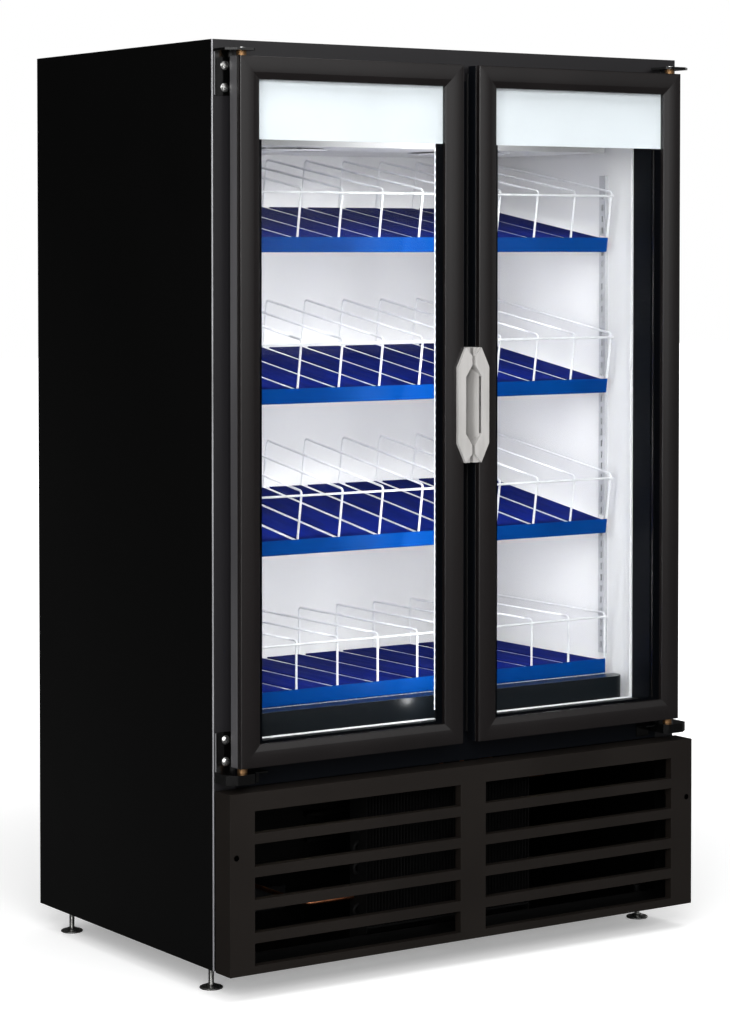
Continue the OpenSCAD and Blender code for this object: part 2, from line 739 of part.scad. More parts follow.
// Shroud plate with its ring, the motor on its pedestal and the shaft
module condenser_fan_motor() {
    plate_y = cond_y + cond_d + 2;
    color([0.16, 0.16, 0.17]) on_body() {
        difference() {
            union() {
                block([-cond_half, plate_y, pan_t + seat], [cond_half, plate_y + 2, cond_top]);
                translate([0, plate_y + 30, fan_z]) rotate([90, 0, 0])
                    cylinder(r = fan_r + 9, h = 30, $fn = 72);
            }
            translate([0, plate_y + 31, fan_z]) rotate([90, 0, 0])
                cylinder(r = fan_r + 6, h = 34, $fn = 72);
        }
        translate([0, motor_y + 60, fan_z]) rotate([90, 0, 0]) cylinder(r = 42, h = 60);
        translate([0, motor_y + 1, fan_z]) rotate([90, 0, 0])
            cylinder(r = shaft_r, h = motor_y - fan_y + 10);
        difference() {
            block([-30, motor_y + 12, pan_t + seat], [30, motor_y + 48, fan_z]);
            block([-27, motor_y + 15, pan_t], [27, motor_y + 45, fan_z - 45]);
        }
        block([-60, motor_y + 5, pan_t + seat], [60, motor_y + 55, pan_t + 3]);
    }
}

module condenser_fan() {
    color([0.3, 0.3, 0.31]) on_body() translate([0, fan_y + 12, fan_z]) rotate([90, 0, 0])
        fan_wheel(fan_r, 24, 24, 5, shaft_r + run_fit);
}

module drain_pan() {
    wall = 2;
    color([0.2, 0.2, 0.2]) on_body() translate([drain_x, drain_y, pan_t + seat]) difference() {
        cube(drain_size);
        translate([wall, wall, wall]) cube(drain_size - [2 * wall, 2 * wall, wall - cut]);
    }
}

module control_box() {
    wall = 1.5;
    color([0.5, 0.51, 0.52]) on_body() translate([box_x, box_y, pan_t + seat]) difference() {
        cube(box_size);
        translate([wall, wall, wall]) cube(box_size - 2 * [wall, wall, wall]);
        translate([box_size[0] / 2, box_size[1] - wall - cut, 38]) rotate([-90, 0, 0])
            cylinder(r = 11, h = wall + 2 * cut);
    }
}

// Temperature knob and light switch on the front of the evaporator cover

module thermostat_knob() {
    color([0.12, 0.12, 0.13]) on_body() translate([knob_x, evap_front - seat, knob_z])
        rotate([90, 0, 0]) difference() {
            union() {
                cylinder(r = 17, h = 4);
                translate([0, 0, 4]) cylinder(r1 = 15, r2 = 13, h = 12);
                translate([-2.5, -16.5, 4]) cube([5, 33, 13]);
                translate([0, 0, -8]) cylinder(r = 3, h = 9);
            }
            translate([-0.8, 8, 16.2]) cube([1.6, 7.5, 2]);
        }
}

module light_switch() {
    color([0.1, 0.1, 0.1]) on_body() translate([switch_x, evap_front, knob_z])
        rotate([90, 0, 90]) linear_extrude(14, center = true)
            polygon([[-seat, -9], [-seat, 9], [-3, 10], [-6, 9], [-4, 0], [-6, -9], [-3, -10]]);
}

// Children with their +X, +Y and +Z turned to the unit vectors u, v and w, at a place
module turned(at, u, v, w) {
    multmatrix([[u[0], v[0], w[0], at[0]], [u[1], v[1], w[1], at[1]], [u[2], v[2], w[2], at[2]]])
        children();
}

function unit(v) = v / norm(v);

// A pipe through points whose legs run along the axes, with a round bend at each corner
module pipe_run(points, r, turn) {
    last = len(points) - 1;
    for (i = [0 : last - 1]) {
        along = unit(points[i + 1] - points[i]);
        side = [along[1], along[2], along[0]];
        from = points[i] + (i == 0 ? 0 : turn) * along;
        to = points[i + 1] - (i == last - 1 ? 0 : turn) * along;
        turned(from, side, cross(along, side), along) cylinder(r = r, h = norm(to - from));
    }
    for (i = [1 : last - 1]) {
        a = unit(points[i] - points[i - 1]);
        b = unit(points[i + 1] - points[i]);
        turned(points[i] + turn * (b - a), -b, a, cross(a, b))
            rotate_extrude(angle = 90) translate([turn, 0]) circle(r = r);
    }
}

// The suction line from the evaporator down the chase to the compressor, the line from the compressor
// to the condenser, and the liquid line with its drier from the condenser back up the chase
module refrigerant_pipes() {
    coil_end = -coil_half - 2 - seat;
    cond_end = cond_half + 3 + seat;
    cond_pipe_y = cond_y + cond_d - 12;
    suction_z = 270;
    liquid_z = 90;
    liquid_x = -cond_half - 120;
    drier_y = 300;
    suction_x = pipe_x + pipe_dx;
    liquid_end_x = pipe_x - pipe_dx;
    color([0.72, 0.45, 0.3]) on_body() {
        pipe_run([[coil_end, coil_y + coil_d - 20, pipe_top], [suction_x, coil_y + coil_d - 20, pipe_top],
            [suction_x, pipe_y, pipe_top], [suction_x, pipe_y, suction_z],
            [comp_x + stub_x, pipe_y, suction_z], [comp_x + stub_x, comp_y, suction_z],
            [comp_x + stub_x, comp_y, stub_top + seat]], pipe_r, pipe_turn);
        pipe_run([[comp_x - stub_x, comp_y, stub_top + seat], [comp_x - stub_x, comp_y, cond_top - 16],
            [comp_x - stub_x, cond_pipe_y, cond_top - 16], [cond_end, cond_pipe_y, cond_top - 16]],
            pipe_r, pipe_turn);
        pipe_run([[-cond_end, cond_pipe_y, liquid_z], [liquid_x, cond_pipe_y, liquid_z],
            [liquid_x, pipe_y, liquid_z], [liquid_end_x, pipe_y, liquid_z],
            [liquid_end_x, pipe_y, pipe_top], [liquid_end_x, coil_y + 20, pipe_top],
            [coil_end, coil_y + 20, pipe_top]], pipe_r, pipe_turn);
        translate([liquid_x, drier_y, liquid_z]) long_rod(90, 11);
    }
}

// Front grille

module front_grille() {
    face = -grille_reach;
    back = -grille_gap;
    slot_bottom = slot_first - (slot_rows - 1) * slot_pitch - slot_h;
    color([0.15, 0.14, 0.135]) on_body() difference() {
        union() {
            difference() {
                block([-half_w, face, grille_low], [half_w, back, grille_top]);
                block([-half_w + grille_t, face + grille_t, grille_low + grille_t],
                    [half_w - grille_t, back + cut, grille_top - grille_t]);
            }
            both_sides() {
                block([slot_in - 6, face, slot_bottom - 6], [slot_out + 6, face + bar_d, slot_first + 6]);
                translate([grille_screw_x, 0, grille_screw_z]) rotate([90, 0, 0])
                    cylinder(r = 9, h = grille_reach - 1);
            }
        }
        both_sides() {
            for (row = [0 : slot_rows - 1])
                block([slot_in, face - cut, slot_first - row * slot_pitch - slot_h],
                    [slot_out, face + bar_d + cut, slot_first - row * slot_pitch]);
            translate([grille_screw_x, face + 6, grille_screw_z]) rotate([90, 0, 0])
                cylinder(r = 5, h = 10);
        }
    }
}

// Hinges

arm_far = 60;                                     // reach of the hinge arms
leg_t = 3;
leg_x0 = half_w - 45;
leg_x1 = half_w - 5;
screw_x = half_w - 28;
top_arm_z = door_top + 10;
low_arm_top = door_low - 11;
screw_rise = 22;

module arm_outline(inset) {
    polygon([[half_w - 3 - inset, 0], [half_w - 3 - inset, -45 + inset / 2],
        [half_w - 22 - inset / 2, -arm_far + inset], [pin_x - 15 + inset / 2, -arm_far + inset],
        [pin_x - 23 + inset, -arm_far + 9 + inset / 2], [pin_x - 23 + inset, 0]]);
}

// A vertical leg on the cabinet's front with its two screw holes
module hinge_leg(low, high, holes) {
    difference() {
        block([leg_x0, -leg_t, low], [leg_x1, 0, high]);
        for (z = holes) translate([screw_x, cut, z]) rotate([90, 0, 0])
            cylinder(r = 3 + press, h = leg_t + 2 * cut);
    }
}

function top_holes() = [top_arm_z - 28, top_arm_z - 28 - 2 * screw_rise];
function low_holes() = [low_arm_top + 20, low_arm_top + 20 + 2 * screw_rise];

module top_hinges() {
    color([0.03, 0.03, 0.03]) on_body() both_sides() difference() {
        union() {
            translate([0, 0, top_arm_z]) linear_extrude(arm_t) arm_outline(0);
            hinge_leg(top_arm_z - 88, top_arm_z + arm_t, top_holes());
        }
        translate([pin_x, pin_y, top_arm_z - cut]) cylinder(r = pin_r + press, h = arm_t + 2 * cut);
    }
}

module bottom_hinges() {
    color([0.03, 0.03, 0.03]) on_body() both_sides() {
        difference() {
            union() {
                difference() {
                    translate([0, 0, low_arm_top - low_arm_h]) linear_extrude(low_arm_h)
                        arm_outline(0);
                    translate([0, 0, low_arm_top - low_arm_h - cut])
                        linear_extrude(low_arm_h - arm_t + cut) arm_outline(3);
                }
                hinge_leg(low_arm_top - low_arm_h, low_arm_top + 80, low_holes());
                translate([pin_x, pin_y, low_arm_top - low_arm_h])
                    cylinder(r = pin_r + 4, h = low_arm_h);
            }
            translate([pin_x, pin_y, low_arm_top - low_arm_h - cut])
                cylinder(r = pin_r + press, h = low_arm_h + 2 * cut);
        }
        // Closer bracket on the rail beside the hinge
        block([pin_x - 60, -3, low_arm_top - 30], [pin_x - 26, 0, low_arm_top - 2]);
        block([pin_x - 60, -36, low_arm_top - 5], [pin_x - 26, -3, low_arm_top - 2]);
    }
}

module hinge_pins() {
    color([0.7, 0.7, 0.68]) on_body() both_sides() {
        translate([pin_x, pin_y, door_top - bush_l + 2])
            cylinder(r = pin_r, h = top_arm_z + arm_t - door_top + bush_l - 2);
        translate([pin_x, pin_y, low_arm_top - low_arm_h])
            cylinder(r = pin_r, h = low_arm_h + door_low - low_arm_top + bush_l - 2);
        translate([pin_x, pin_y, low_arm_top - low_arm_h - 3]) cylinder(r = pin_r + 3, h = 3);
        translate([pin_x, pin_y, top_arm_z + arm_t]) cylinder(r = pin_r + 3, h = 2);
    }
}

module screws() {
    color([0.85, 0.85, 0.85]) on_body() both_sides() {
        for (z = concat(top_holes(), low_holes())) translate([screw_x, -leg_t, z])
            rotate([90, 0, 0]) {
                translate([0, 0, -leg_t]) cylinder(r = 3, h = leg_t);
                rotate_extrude() polygon(concat([[0, 0], [6, 0]], arc(0.5, 0.5, 5.5, 0, 34, 3),
                    [[3.5, 3.9], [0, 4.2]]));
            }
        translate([grille_screw_x, -grille_reach + 6, grille_screw_z]) rotate([90, 0, 0])
            cylinder(r = 4.8, h = 4);
    }
}

// Doors; each is drawn for the right side

module rail_section() {
    polygon([[0, door_back], [0, door_face + 3], [3, door_face],
        [rail_w - bevel_w, door_face], [rail_w, door_face + bevel_d],
        [rail_w, groove_front], [rail_w - glass_in - 1, groove_front],
        [rail_w - glass_in - 1, groove_back], [rail_w, groove_back], [rail_w, door_back]]);
}

module door_frame(side) {
    color([0.17, 0.165, 0.165]) on_body() on_side(side) difference() {
        mitred_frame(door_in, door_low, door_out, door_top, rail_w) rail_section();
        for (z = [door_low - cut, door_top - bush_l]) translate([pin_x, pin_y, z])
            cylinder(r = bush_r + press, h = bush_l + cut);
    }
}

// The rectangle of the glass, drawn inwards by a margin
module glass_sheet(margin, y0, y1) {
    edge = rail_w - glass_in + margin;
    block([door_in + edge, y0, door_low + edge], [door_out - edge, y1, door_top - edge]);
}

module door_glass(side) {
    color([0.75, 0.85, 0.88, 0.35]) on_body() on_side(side) {
        glass_sheet(0, groove_front + seat, groove_front + seat + pane_t);
        glass_sheet(0, groove_back - seat - pane_t, groove_back - seat);
    }
}

module door_spacer(side) {
    edge = rail_w - glass_in;
    color([0.1, 0.1, 0.1]) on_body() on_side(side)
        mitred_frame(door_in + edge, door_low + edge, door_out - edge, door_top - edge, 9)
            translate([1, groove_front + seat + pane_t])
                square([8, groove_back - groove_front - 2 * seat - 2 * pane_t]);
}

module gasket_section() {
    translate([0, door_back]) square([gasket_w, 2.5]);
    translate([3, door_back + 2.4]) square([gasket_w - 6, gasket_d - 7.4]);
    translate([1, -5.1]) square([gasket_w - 2, 5.1 - seat]);
}

module door_gasket(side) {
    color([0.05, 0.05, 0.05]) on_body() on_side(side)
        mitred_frame(gasket_in, door_low + gasket_end, gasket_out, door_top - gasket_end, gasket_w)
            gasket_section();
}

module header_band(side) {
    edge = rail_w - glass_in + 9.4;
    y0 = groove_front + seat + pane_t;
    color([0.93, 0.95, 0.98]) on_body() on_side(side)
        block([door_in + edge, y0, door_top - rail_w - band_h],
            [door_out - edge, y0 + 0.6, door_top - edge]);
}

// Handle half that grips the door's free edge, with the finger pocket in its middle
module handle(side) {
    face = door_face - handle_proud;
    inner = 4;
    outer = door_in + handle_face;
    half = handle_h / 2;
    pocket_depth = door_face + 27;
    color([0.77, 0.765, 0.755]) on_body() on_side(side) translate([0, 0, handle_z]) difference() {
        union() {
            translate([0, door_face, 0]) rotate([90, 0, 0]) linear_extrude(handle_proud)
                polygon([[inner, half - 18], [door_in, half], [outer, half - 41],
                    [outer, 41 - half], [door_in, -half], [inner, 18 - half]]);
            block([inner, door_face - 0.5, -half], [door_in, door_back - 3, half]);
        }
        intersection() {
            translate([0, 0, -half]) linear_extrude(handle_h) polygon([[inner - 1, face - 1],
                [door_in, face - 1], [door_in, face + 4], [door_in + 5, door_face - 1.5],
                [door_in + 5, door_face], [door_in - 4, door_face], [inner, pocket_depth],
                [inner - 1, pocket_depth]]);
            translate([0, 0, 0]) rotate([90, 0, 0]) linear_extrude(200)
                polygon([[inner - 2, half - 34], [door_in, half - 61], [door_in + 8, half - 61],
                    [door_in + 8, 61 - half], [door_in, 61 - half], [inner - 2, 34 - half]]);
        }
    }
}

module door_bushings(side) {
    flange = [low_arm_top + seat, door_top];
    flange_h = door_low - low_arm_top - seat;
    color([0.72, 0.42, 0.25]) on_body() on_side(side) difference() {
        union() {
            translate([pin_x, pin_y, flange[0]]) cylinder(r = bush_flange_r, h = flange_h);
            translate([pin_x, pin_y, door_low]) cylinder(r = bush_r, h = bush_l - 2);
            translate([pin_x, pin_y, flange[1]])
                cylinder(r = bush_flange_r, h = top_arm_z - door_top - seat);
            translate([pin_x, pin_y, door_top - bush_l + 1]) cylinder(r = bush_r, h = bush_l - 1);
        }
        translate([pin_x, pin_y, low_arm_top - cut])
            cylinder(r = pin_r + run_fit, h = door_low - low_arm_top + bush_l);
        translate([pin_x, pin_y, door_top - bush_l - cut])
            cylinder(r = pin_r + run_fit, h = top_arm_z - door_top + bush_l + 2 * cut);
    }
}

side_panel(-1);  // side_panel_left
side_panel(1);  // side_panel_right
top_panel();
back_panel();
header_panel();
face_frame();
insulation();
base_pan();
rear_grille();
liner();
mullion();
led_strips();
leveling_feet();
sill_cover();
pilasters();
shelf_clips();
shelf_deck(0);  // shelf_deck_1
shelf_deck(1);  // shelf_deck_2
shelf_deck(2);  // shelf_deck_3
shelf_deck(3);  // shelf_deck_4
shelf_dividers(0);  // shelf_dividers_1
shelf_dividers(1);  // shelf_dividers_2
shelf_dividers(2);  // shelf_dividers_3
shelf_dividers(3);  // shelf_dividers_4
shelf_glides();
shelf_strips();
evaporator_cover();
evaporator_coil();
evaporator_fan_motors();
evaporator_fan(-1);  // evaporator_fan_left
evaporator_fan(1);  // evaporator_fan_right
compressor();
condenser_coil();
condenser_fan_motor();
condenser_fan();
drain_pan();
control_box();
thermostat_knob();
light_switch();
refrigerant_pipes();
front_grille();
top_hinges();
bottom_hinges();
hinge_pins();
screws();
door_frame(-1);  // left_door_frame
door_glass(-1);  // left_door_glass
door_spacer(-1);  // left_door_spacer
door_gasket(-1);  // left_door_gasket
header_band(-1);  // left_header_band
handle(-1);  // left_handle
door_bushings(-1);  // left_door_bushings
door_frame(1);  // right_door_frame
door_glass(1);  // right_door_glass
door_spacer(1);  // right_door_spacer
door_gasket(1);  // right_door_gasket
header_band(1);  // right_header_band
handle(1);  // right_handle
door_bushings(1);  // right_door_bushings
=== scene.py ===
# %% [markdown]
# # A two-door reach-in cooler
# The cooler is a tall foamed cabinet of black sheet steel with two glass doors. White wire shelves with
# navy glide mats and blue front strips stand in a white liner, and a slotted grille hides the machine
# compartment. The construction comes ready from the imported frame. This notebook gives every surface its
# finish and adds the forms that a maker sees from close by: ribbed mats, a bellows gasket, hexagonal
# screws, threaded feet. Everything is in metres: X across, Y towards the back, Z up.

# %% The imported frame
import math

import bmesh
import bpy
import numpy as np
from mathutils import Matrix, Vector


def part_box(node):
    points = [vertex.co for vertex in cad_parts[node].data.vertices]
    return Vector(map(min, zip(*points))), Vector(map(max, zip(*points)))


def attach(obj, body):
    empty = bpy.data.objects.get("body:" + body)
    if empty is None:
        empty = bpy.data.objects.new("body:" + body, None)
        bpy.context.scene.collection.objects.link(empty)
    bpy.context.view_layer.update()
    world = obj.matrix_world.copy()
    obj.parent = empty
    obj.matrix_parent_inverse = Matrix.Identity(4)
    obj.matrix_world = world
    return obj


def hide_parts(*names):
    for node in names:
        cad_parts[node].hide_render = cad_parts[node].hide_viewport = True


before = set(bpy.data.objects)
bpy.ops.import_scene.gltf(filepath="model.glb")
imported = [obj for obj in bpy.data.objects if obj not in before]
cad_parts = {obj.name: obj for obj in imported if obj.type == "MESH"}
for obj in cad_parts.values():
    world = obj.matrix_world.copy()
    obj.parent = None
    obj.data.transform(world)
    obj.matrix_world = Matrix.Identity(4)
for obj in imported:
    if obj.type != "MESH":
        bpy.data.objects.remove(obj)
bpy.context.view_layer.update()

# %% [markdown]
# ## Places
# A few faces of the cabinet are asked for again and again, so they are read once from the frame: the
# front plane, the lower edge, the half width. Every later place is counted from them, as a fitter would
# measure from an edge that is already there.

# %% Faces of the cabinet
FRONT_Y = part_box("header_panel")[0].y
BASE_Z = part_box("side_panel_left")[0].z
TOP_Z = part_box("side_panel_left")[1].z
HALF_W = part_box("side_panel_right")[1].x
BACK_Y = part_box("back_panel")[1].y
FLOOR_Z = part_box("sill_cover")[0].z
print("front plane", round(FRONT_Y, 3), "lower edge", round(BASE_Z, 3), "half width", round(HALF_W, 3))

# %% [markdown]
# ## The camera
# The cooler is seen from the front and a little from its left, from about the height of a person's chest.
# A long lens keeps the uprights upright. The photographer cropped the frame below the lens's axis, which
# a small vertical shift of the sensor does here. The angles come from a pinhole fit to the cabinet's
# corners.

# %% Camera
CAMERA_AT = (-3.6089, -5.3265, 1.5106)
YAW, PITCH = 0.5953, -0.0353
LENS_MM, SHIFT_Y = 102.5, -0.158

camera_data = bpy.data.cameras.new("camera")
camera_data.sensor_width = 36
camera_data.lens = LENS_MM
camera_data.shift_y = SHIFT_Y
camera_data.clip_end = 100
camera = bpy.data.objects.new("camera", camera_data)
camera.location = CAMERA_AT
camera.rotation_euler = (math.pi / 2 + PITCH, 0, -YAW)
bpy.context.scene.collection.objects.link(camera)
bpy.context.scene.camera = camera
bpy.context.scene.view_settings.view_transform = "Standard"

# %% [markdown]
# ## The studio
# A product on white stands on a white sweep under large soft lamps. The lamps stay at a plain level, where
# a paint renders as it is mixed. The white hardly lights the cooler: the world answers the camera, and what
# lies behind the panes, with white, and everything else with the mild fill. Shiny surfaces see a soft card in
# front, which fades to a dark flag on the right, and a weak card far out on the right.

# %% World: white behind, a soft card for reflections, a mild fill for the rest
FILL = 0.6
CARD_TOWARDS, CARD_LOW, CARD_HIGH = (-0.3, -0.9, 0.1), 0.02, 1.3
CARD_START, CARD_FULL = 0.49, 0.62
SIDE_TOWARDS, SIDE_HIGH = (1, 0, 0), 0.5
SIDE_START, SIDE_FULL = 0.75, 0.9
ROOM_TURNS = 1.5      # the room's white is seen straight, and from a surface behind glass
FLOOR_TURNS = 0.5     # the floor's own light is only seen straight


def node(tree, kind, **inputs):
    """A new node; inputs are its sockets' values by name, with _ for a blank."""
    made = tree.nodes.new(kind)
    for name, value in inputs.items():
        made.inputs[name.replace("_", " ")].default_value = value
    return made


def maths(tree, operation, a, b=None, c=None):
    """The output of a Math node on sockets or numbers."""
    made = tree.nodes.new("ShaderNodeMath")
    made.operation = operation
    for place, value in enumerate((a, b, c)):
        if isinstance(value, (int, float)):
            made.inputs[place].default_value = value
        elif value is not None:
            tree.links.new(value, made.inputs[place])
    return made.outputs[0]


def map_range(tree, value, low, high, to_low, to_high):
    """value, moved from low..high to to_low..to_high along a smooth step and held at the ends."""
    made = tree.nodes.new("ShaderNodeMapRange")
    made.interpolation_type = "SMOOTHSTEP"
    for place, number in enumerate((low, high, to_low, to_high), 1):
        made.inputs[place].default_value = number
    tree.links.new(value, made.inputs[0])
    return made.outputs[0]


def facing(tree, source, direction):
    """The dot product of a direction with a fixed one."""
    made = tree.nodes.new("ShaderNodeVectorMath")
    made.operation = "DOT_PRODUCT"
    made.inputs[1].default_value = direction
    tree.links.new(source, made.inputs[0])
    return made.outputs["Value"]


def seen_by_camera(tree, path, limit):
    """1 for a camera ray, also past glass, while its bounces less those through glass stay below a limit."""
    turns = maths(tree, "SUBTRACT", path.outputs["Ray Depth"], path.outputs["Transmission Depth"])
    below = maths(tree, "LESS_THAN", turns, limit)
    straight = maths(tree, "MULTIPLY", path.outputs["Is Transmission Ray"], below)
    return maths(tree, "MAXIMUM", path.outputs["Is Camera Ray"], straight)


def swapped(tree, share, other):
    """Gives the material its Principled shader, and the other shader where the share is 1."""
    swap = tree.nodes.new("ShaderNodeMixShader")
    for place, source in enumerate((share, tree.nodes["Principled BSDF"].outputs[0], other.outputs[0])):
        tree.links.new(source, swap.inputs[place])
    tree.links.new(swap.outputs[0], tree.nodes["Material Output"].inputs["Surface"])


world = bpy.data.worlds.new("studio")
bpy.context.scene.world = world
world.use_nodes = True
sky = world.node_tree
background = sky.nodes["Background"]
background.inputs["Color"].default_value = (1, 1, 1, 1)
path = sky.nodes.new("ShaderNodeLightPath")
around = sky.nodes.new("ShaderNodeTexCoord").outputs["Generated"]
front_card = map_range(sky, facing(sky, around, CARD_TOWARDS), CARD_START, CARD_FULL, CARD_LOW, CARD_HIGH)
side_card = map_range(sky, facing(sky, around, SIDE_TOWARDS), SIDE_START, SIDE_FULL, 0, SIDE_HIGH)
card = maths(sky, "ADD", front_card, side_card)
glossy = maths(sky, "MULTIPLY", path.outputs["Is Glossy Ray"], maths(sky, "SUBTRACT", card, FILL))
plain = maths(sky, "ADD", glossy, FILL)
seen = seen_by_camera(sky, path, ROOM_TURNS)
sky.links.new(maths(sky, "MAXIMUM", plain, seen), background.inputs["Strength"])
print("fill", FILL, "front card", CARD_HIGH, "side card", SIDE_HIGH)


# %% Lamps: a large key at the front left, a soft top, and the strip that draws the left edge
def area_lamp(name, at, towards_point, width, height, watts):
    """A rectangular lamp at a place, turned towards a point and hidden from the camera."""
    data = bpy.data.lights.new(name, "AREA")
    data.shape = "RECTANGLE"
    data.size, data.size_y = width, height
    data.energy = watts
    lamp = bpy.data.objects.new(name, data)
    lamp.location = at
    aim = Vector(towards_point) - Vector(at)
    lamp.rotation_euler = aim.to_track_quat("-Z", "Y").to_euler()
    lamp.visible_camera = False
    bpy.context.scene.collection.objects.link(lamp)
    print("lamp", name, watts, "W")
    return lamp


MIDDLE = (0, 0, 1.0)
area_lamp("key", (-2.6, -4.6, 2.8), MIDDLE, 2.6, 2.2, 130)
area_lamp("top", (0, -1.2, 4.4), MIDDLE, 3.2, 2.4, 60)
area_lamp("edge", (-2.3, -1.5, 1.3), (-0.6, -0.34, 1.0), 0.5, 2.5, 25)

# %% [markdown]
# ## The floor
# The floor is matt white. A little light of its own lifts it to the page's white where nothing shades it,
# and what the cooler shades stays a soft grey. Shiny paint sees a darker floor, as it would with the
# studio's own floor beyond the sweep.

# %% Floor
FLOOR_SIZE = 60
FLOOR_LIFT = 0.3      # light of its own near the cooler; it rises to full white further out
LIFT_NEAR, LIFT_FAR = 1.2, 4.0
half = FLOOR_SIZE / 2
corners = [(x * half, y * half, 0) for x, y in ((-1, -1), (1, -1), (1, 1), (-1, 1))]
floor_mesh = bpy.data.meshes.new("floor")
floor_mesh.from_pydata(corners, [], [(0, 1, 2, 3)])
floor = bpy.data.objects.new("floor", floor_mesh)
bpy.context.scene.collection.objects.link(floor)
sweep = bpy.data.materials.new("white_sweep")
sweep.use_nodes = True
tree = sweep.node_tree
shader = tree.nodes["Principled BSDF"]
shader.inputs["Base Color"].default_value = (0.9, 0.9, 0.9, 1)
shader.inputs["Roughness"].default_value = 1
shader.inputs["Specular IOR Level"].default_value = 0
shader.inputs["Emission Color"].default_value = (1, 1, 1, 1)
path = tree.nodes.new("ShaderNodeLightPath")
seen = seen_by_camera(tree, path, FLOOR_TURNS)
mirrored_ray = maths(tree, "MULTIPLY", path.outputs["Is Glossy Ray"], maths(tree, "SUBTRACT", 1, seen))
swapped(tree, mirrored_ray, node(tree, "ShaderNodeBsdfDiffuse", Color=(0.08, 0.08, 0.08, 1)))
reach = tree.nodes.new("ShaderNodeVectorMath")
reach.operation = "LENGTH"
tree.links.new(tree.nodes.new("ShaderNodeTexCoord").outputs["Object"], reach.inputs[0])
lift = map_range(tree, reach.outputs["Value"], LIFT_NEAR, LIFT_FAR, FLOOR_LIFT, 1.0)
tree.links.new(maths(tree, "MULTIPLY", seen, lift), shader.inputs["Emission Strength"])
floor_mesh.materials.append(sweep)
print("floor", FLOOR_SIZE, "m wide")

# %% [markdown]
# ## Finishes
# Real finishes are never one flat colour. Powder coat has a fine orange peel, extruded trim has a grain
# along its length, coated wire is slightly wavy, and rubber is chalky. Each finish below starts from its
# paint and gets its relief and its variation from noise that reads Object coordinates, so the pattern
# has a real size in metres and stays put in every view.


# %% Helpers for finishes
NOISE_LOW, NOISE_HIGH = 0.3, 0.7      # most values of the noise lie between these


def srgb(code):
    """Linear colour of a hex code: a channel c is ((c + 0.055) / 1.055) ** 2.4, or c / 12.92 near black."""
    channels = np.array([int(code[i : i + 2], 16) for i in (0, 2, 4)]) / 255
    linear = np.where(channels <= 0.04045, channels / 12.92, ((channels + 0.055) / 1.055) ** 2.4)
    return (*linear.tolist(), 1.0)


def finish(name, colour, roughness, **sockets):
    """A new material; plain values sit on the shader's own sockets."""
    made = bpy.data.materials.new(name)
    made.use_nodes = True
    shader = made.node_tree.nodes["Principled BSDF"]
    shader.inputs["Base Color"].default_value = srgb(colour)
    shader.inputs["Roughness"].default_value = roughness
    for socket, value in sockets.items():
        shader.inputs[socket.replace("_", " ")].default_value = value
    return made


def grain(made, scale, stretch=(1, 1, 1), detail=2.0):
    """Noise on Object coordinates, scale cells to the metre, drawn out along an axis by a small stretch."""
    tree = made.node_tree
    place = tree.nodes.new("ShaderNodeTexCoord")
    turn = tree.nodes.new("ShaderNodeMapping")
    turn.inputs["Scale"].default_value = stretch
    noise = node(tree, "ShaderNodeTexNoise", Scale=scale, Detail=detail)
    tree.links.new(place.outputs["Object"], turn.inputs["Vector"])
    tree.links.new(turn.outputs["Vector"], noise.inputs["Vector"])
    return noise.outputs["Fac"]


def rough_from(made, source, low, high):
    """Roughness that wanders between two values with the source."""
    tree = made.node_tree
    value = map_range(tree, source, NOISE_LOW, NOISE_HIGH, low, high)
    tree.links.new(value, tree.nodes["Principled BSDF"].inputs["Roughness"])


def colour_from(made, source, dark, light):
    """Base colour that wanders between two hex colours with the source."""
    tree = made.node_tree
    mix = tree.nodes.new("ShaderNodeMix")
    mix.data_type = "RGBA"
    mix.inputs[6].default_value = srgb(dark)
    mix.inputs[7].default_value = srgb(light)
    tree.links.new(map_range(tree, source, NOISE_LOW, NOISE_HIGH, 0, 1), mix.inputs[0])
    tree.links.new(mix.outputs[2], tree.nodes["Principled BSDF"].inputs["Base Color"])


def relief(made, source, height):
    """A bump whose full height is given in metres."""
    tree = made.node_tree
    bump = node(tree, "ShaderNodeBump", Strength=1.0, Distance=height)
    tree.links.new(source, bump.inputs["Height"])
    tree.links.new(bump.outputs["Normal"], tree.nodes["Principled BSDF"].inputs["Normal"])


def coat(name, colour, roughness, tint=None, bump=None, wander=None, **sockets):
    """A finish with grains: tint is dark, light, grain; bump is height, grain; wander is low, high, grain."""
    made = finish(name, colour, roughness, **sockets)
    if tint:
        colour_from(made, grain(made, *tint[2:]), *tint[:2])
    if bump:
        relief(made, grain(made, *bump[1:]), bump[0])
    if wander:
        rough_from(made, grain(made, *wander[2:]), *wander[:2])
    return made


# %% [markdown]
# ## Glass
# The doors are double glazed with clear, low-reflection panes. Clear glass is a shader that transmits
# nearly everything. Rays from lamps would otherwise stop at it, so for them alone the pane is transparent,
# and the shelves behind stay lit.


# %% Clear pane
def clear_glass():
    """A transmitting shader, swapped for a transparent one on shadow rays."""
    made = finish("clear_pane", "fcfdfd", 0.0, Transmission_Weight=1.0, IOR=1.12)
    tree = made.node_tree
    path = tree.nodes.new("ShaderNodeLightPath")
    clear = node(tree, "ShaderNodeBsdfTransparent", Color=(0.98, 0.985, 0.985, 1))
    swapped(tree, path.outputs["Is Shadow Ray"], clear)
    return made


# %% [markdown]
# ## Lamp lens
# The cabinet's lamps are strips of small diodes under a milky lens beside the mullion. The lens glows all
# along, brightest over each diode, so its light comes from a wave along Z with one crest per diode.


# %% Lamp lens
DIODE_PITCH = 0.016
GLOW_LOW, GLOW_RISE = 0.5, 1.6


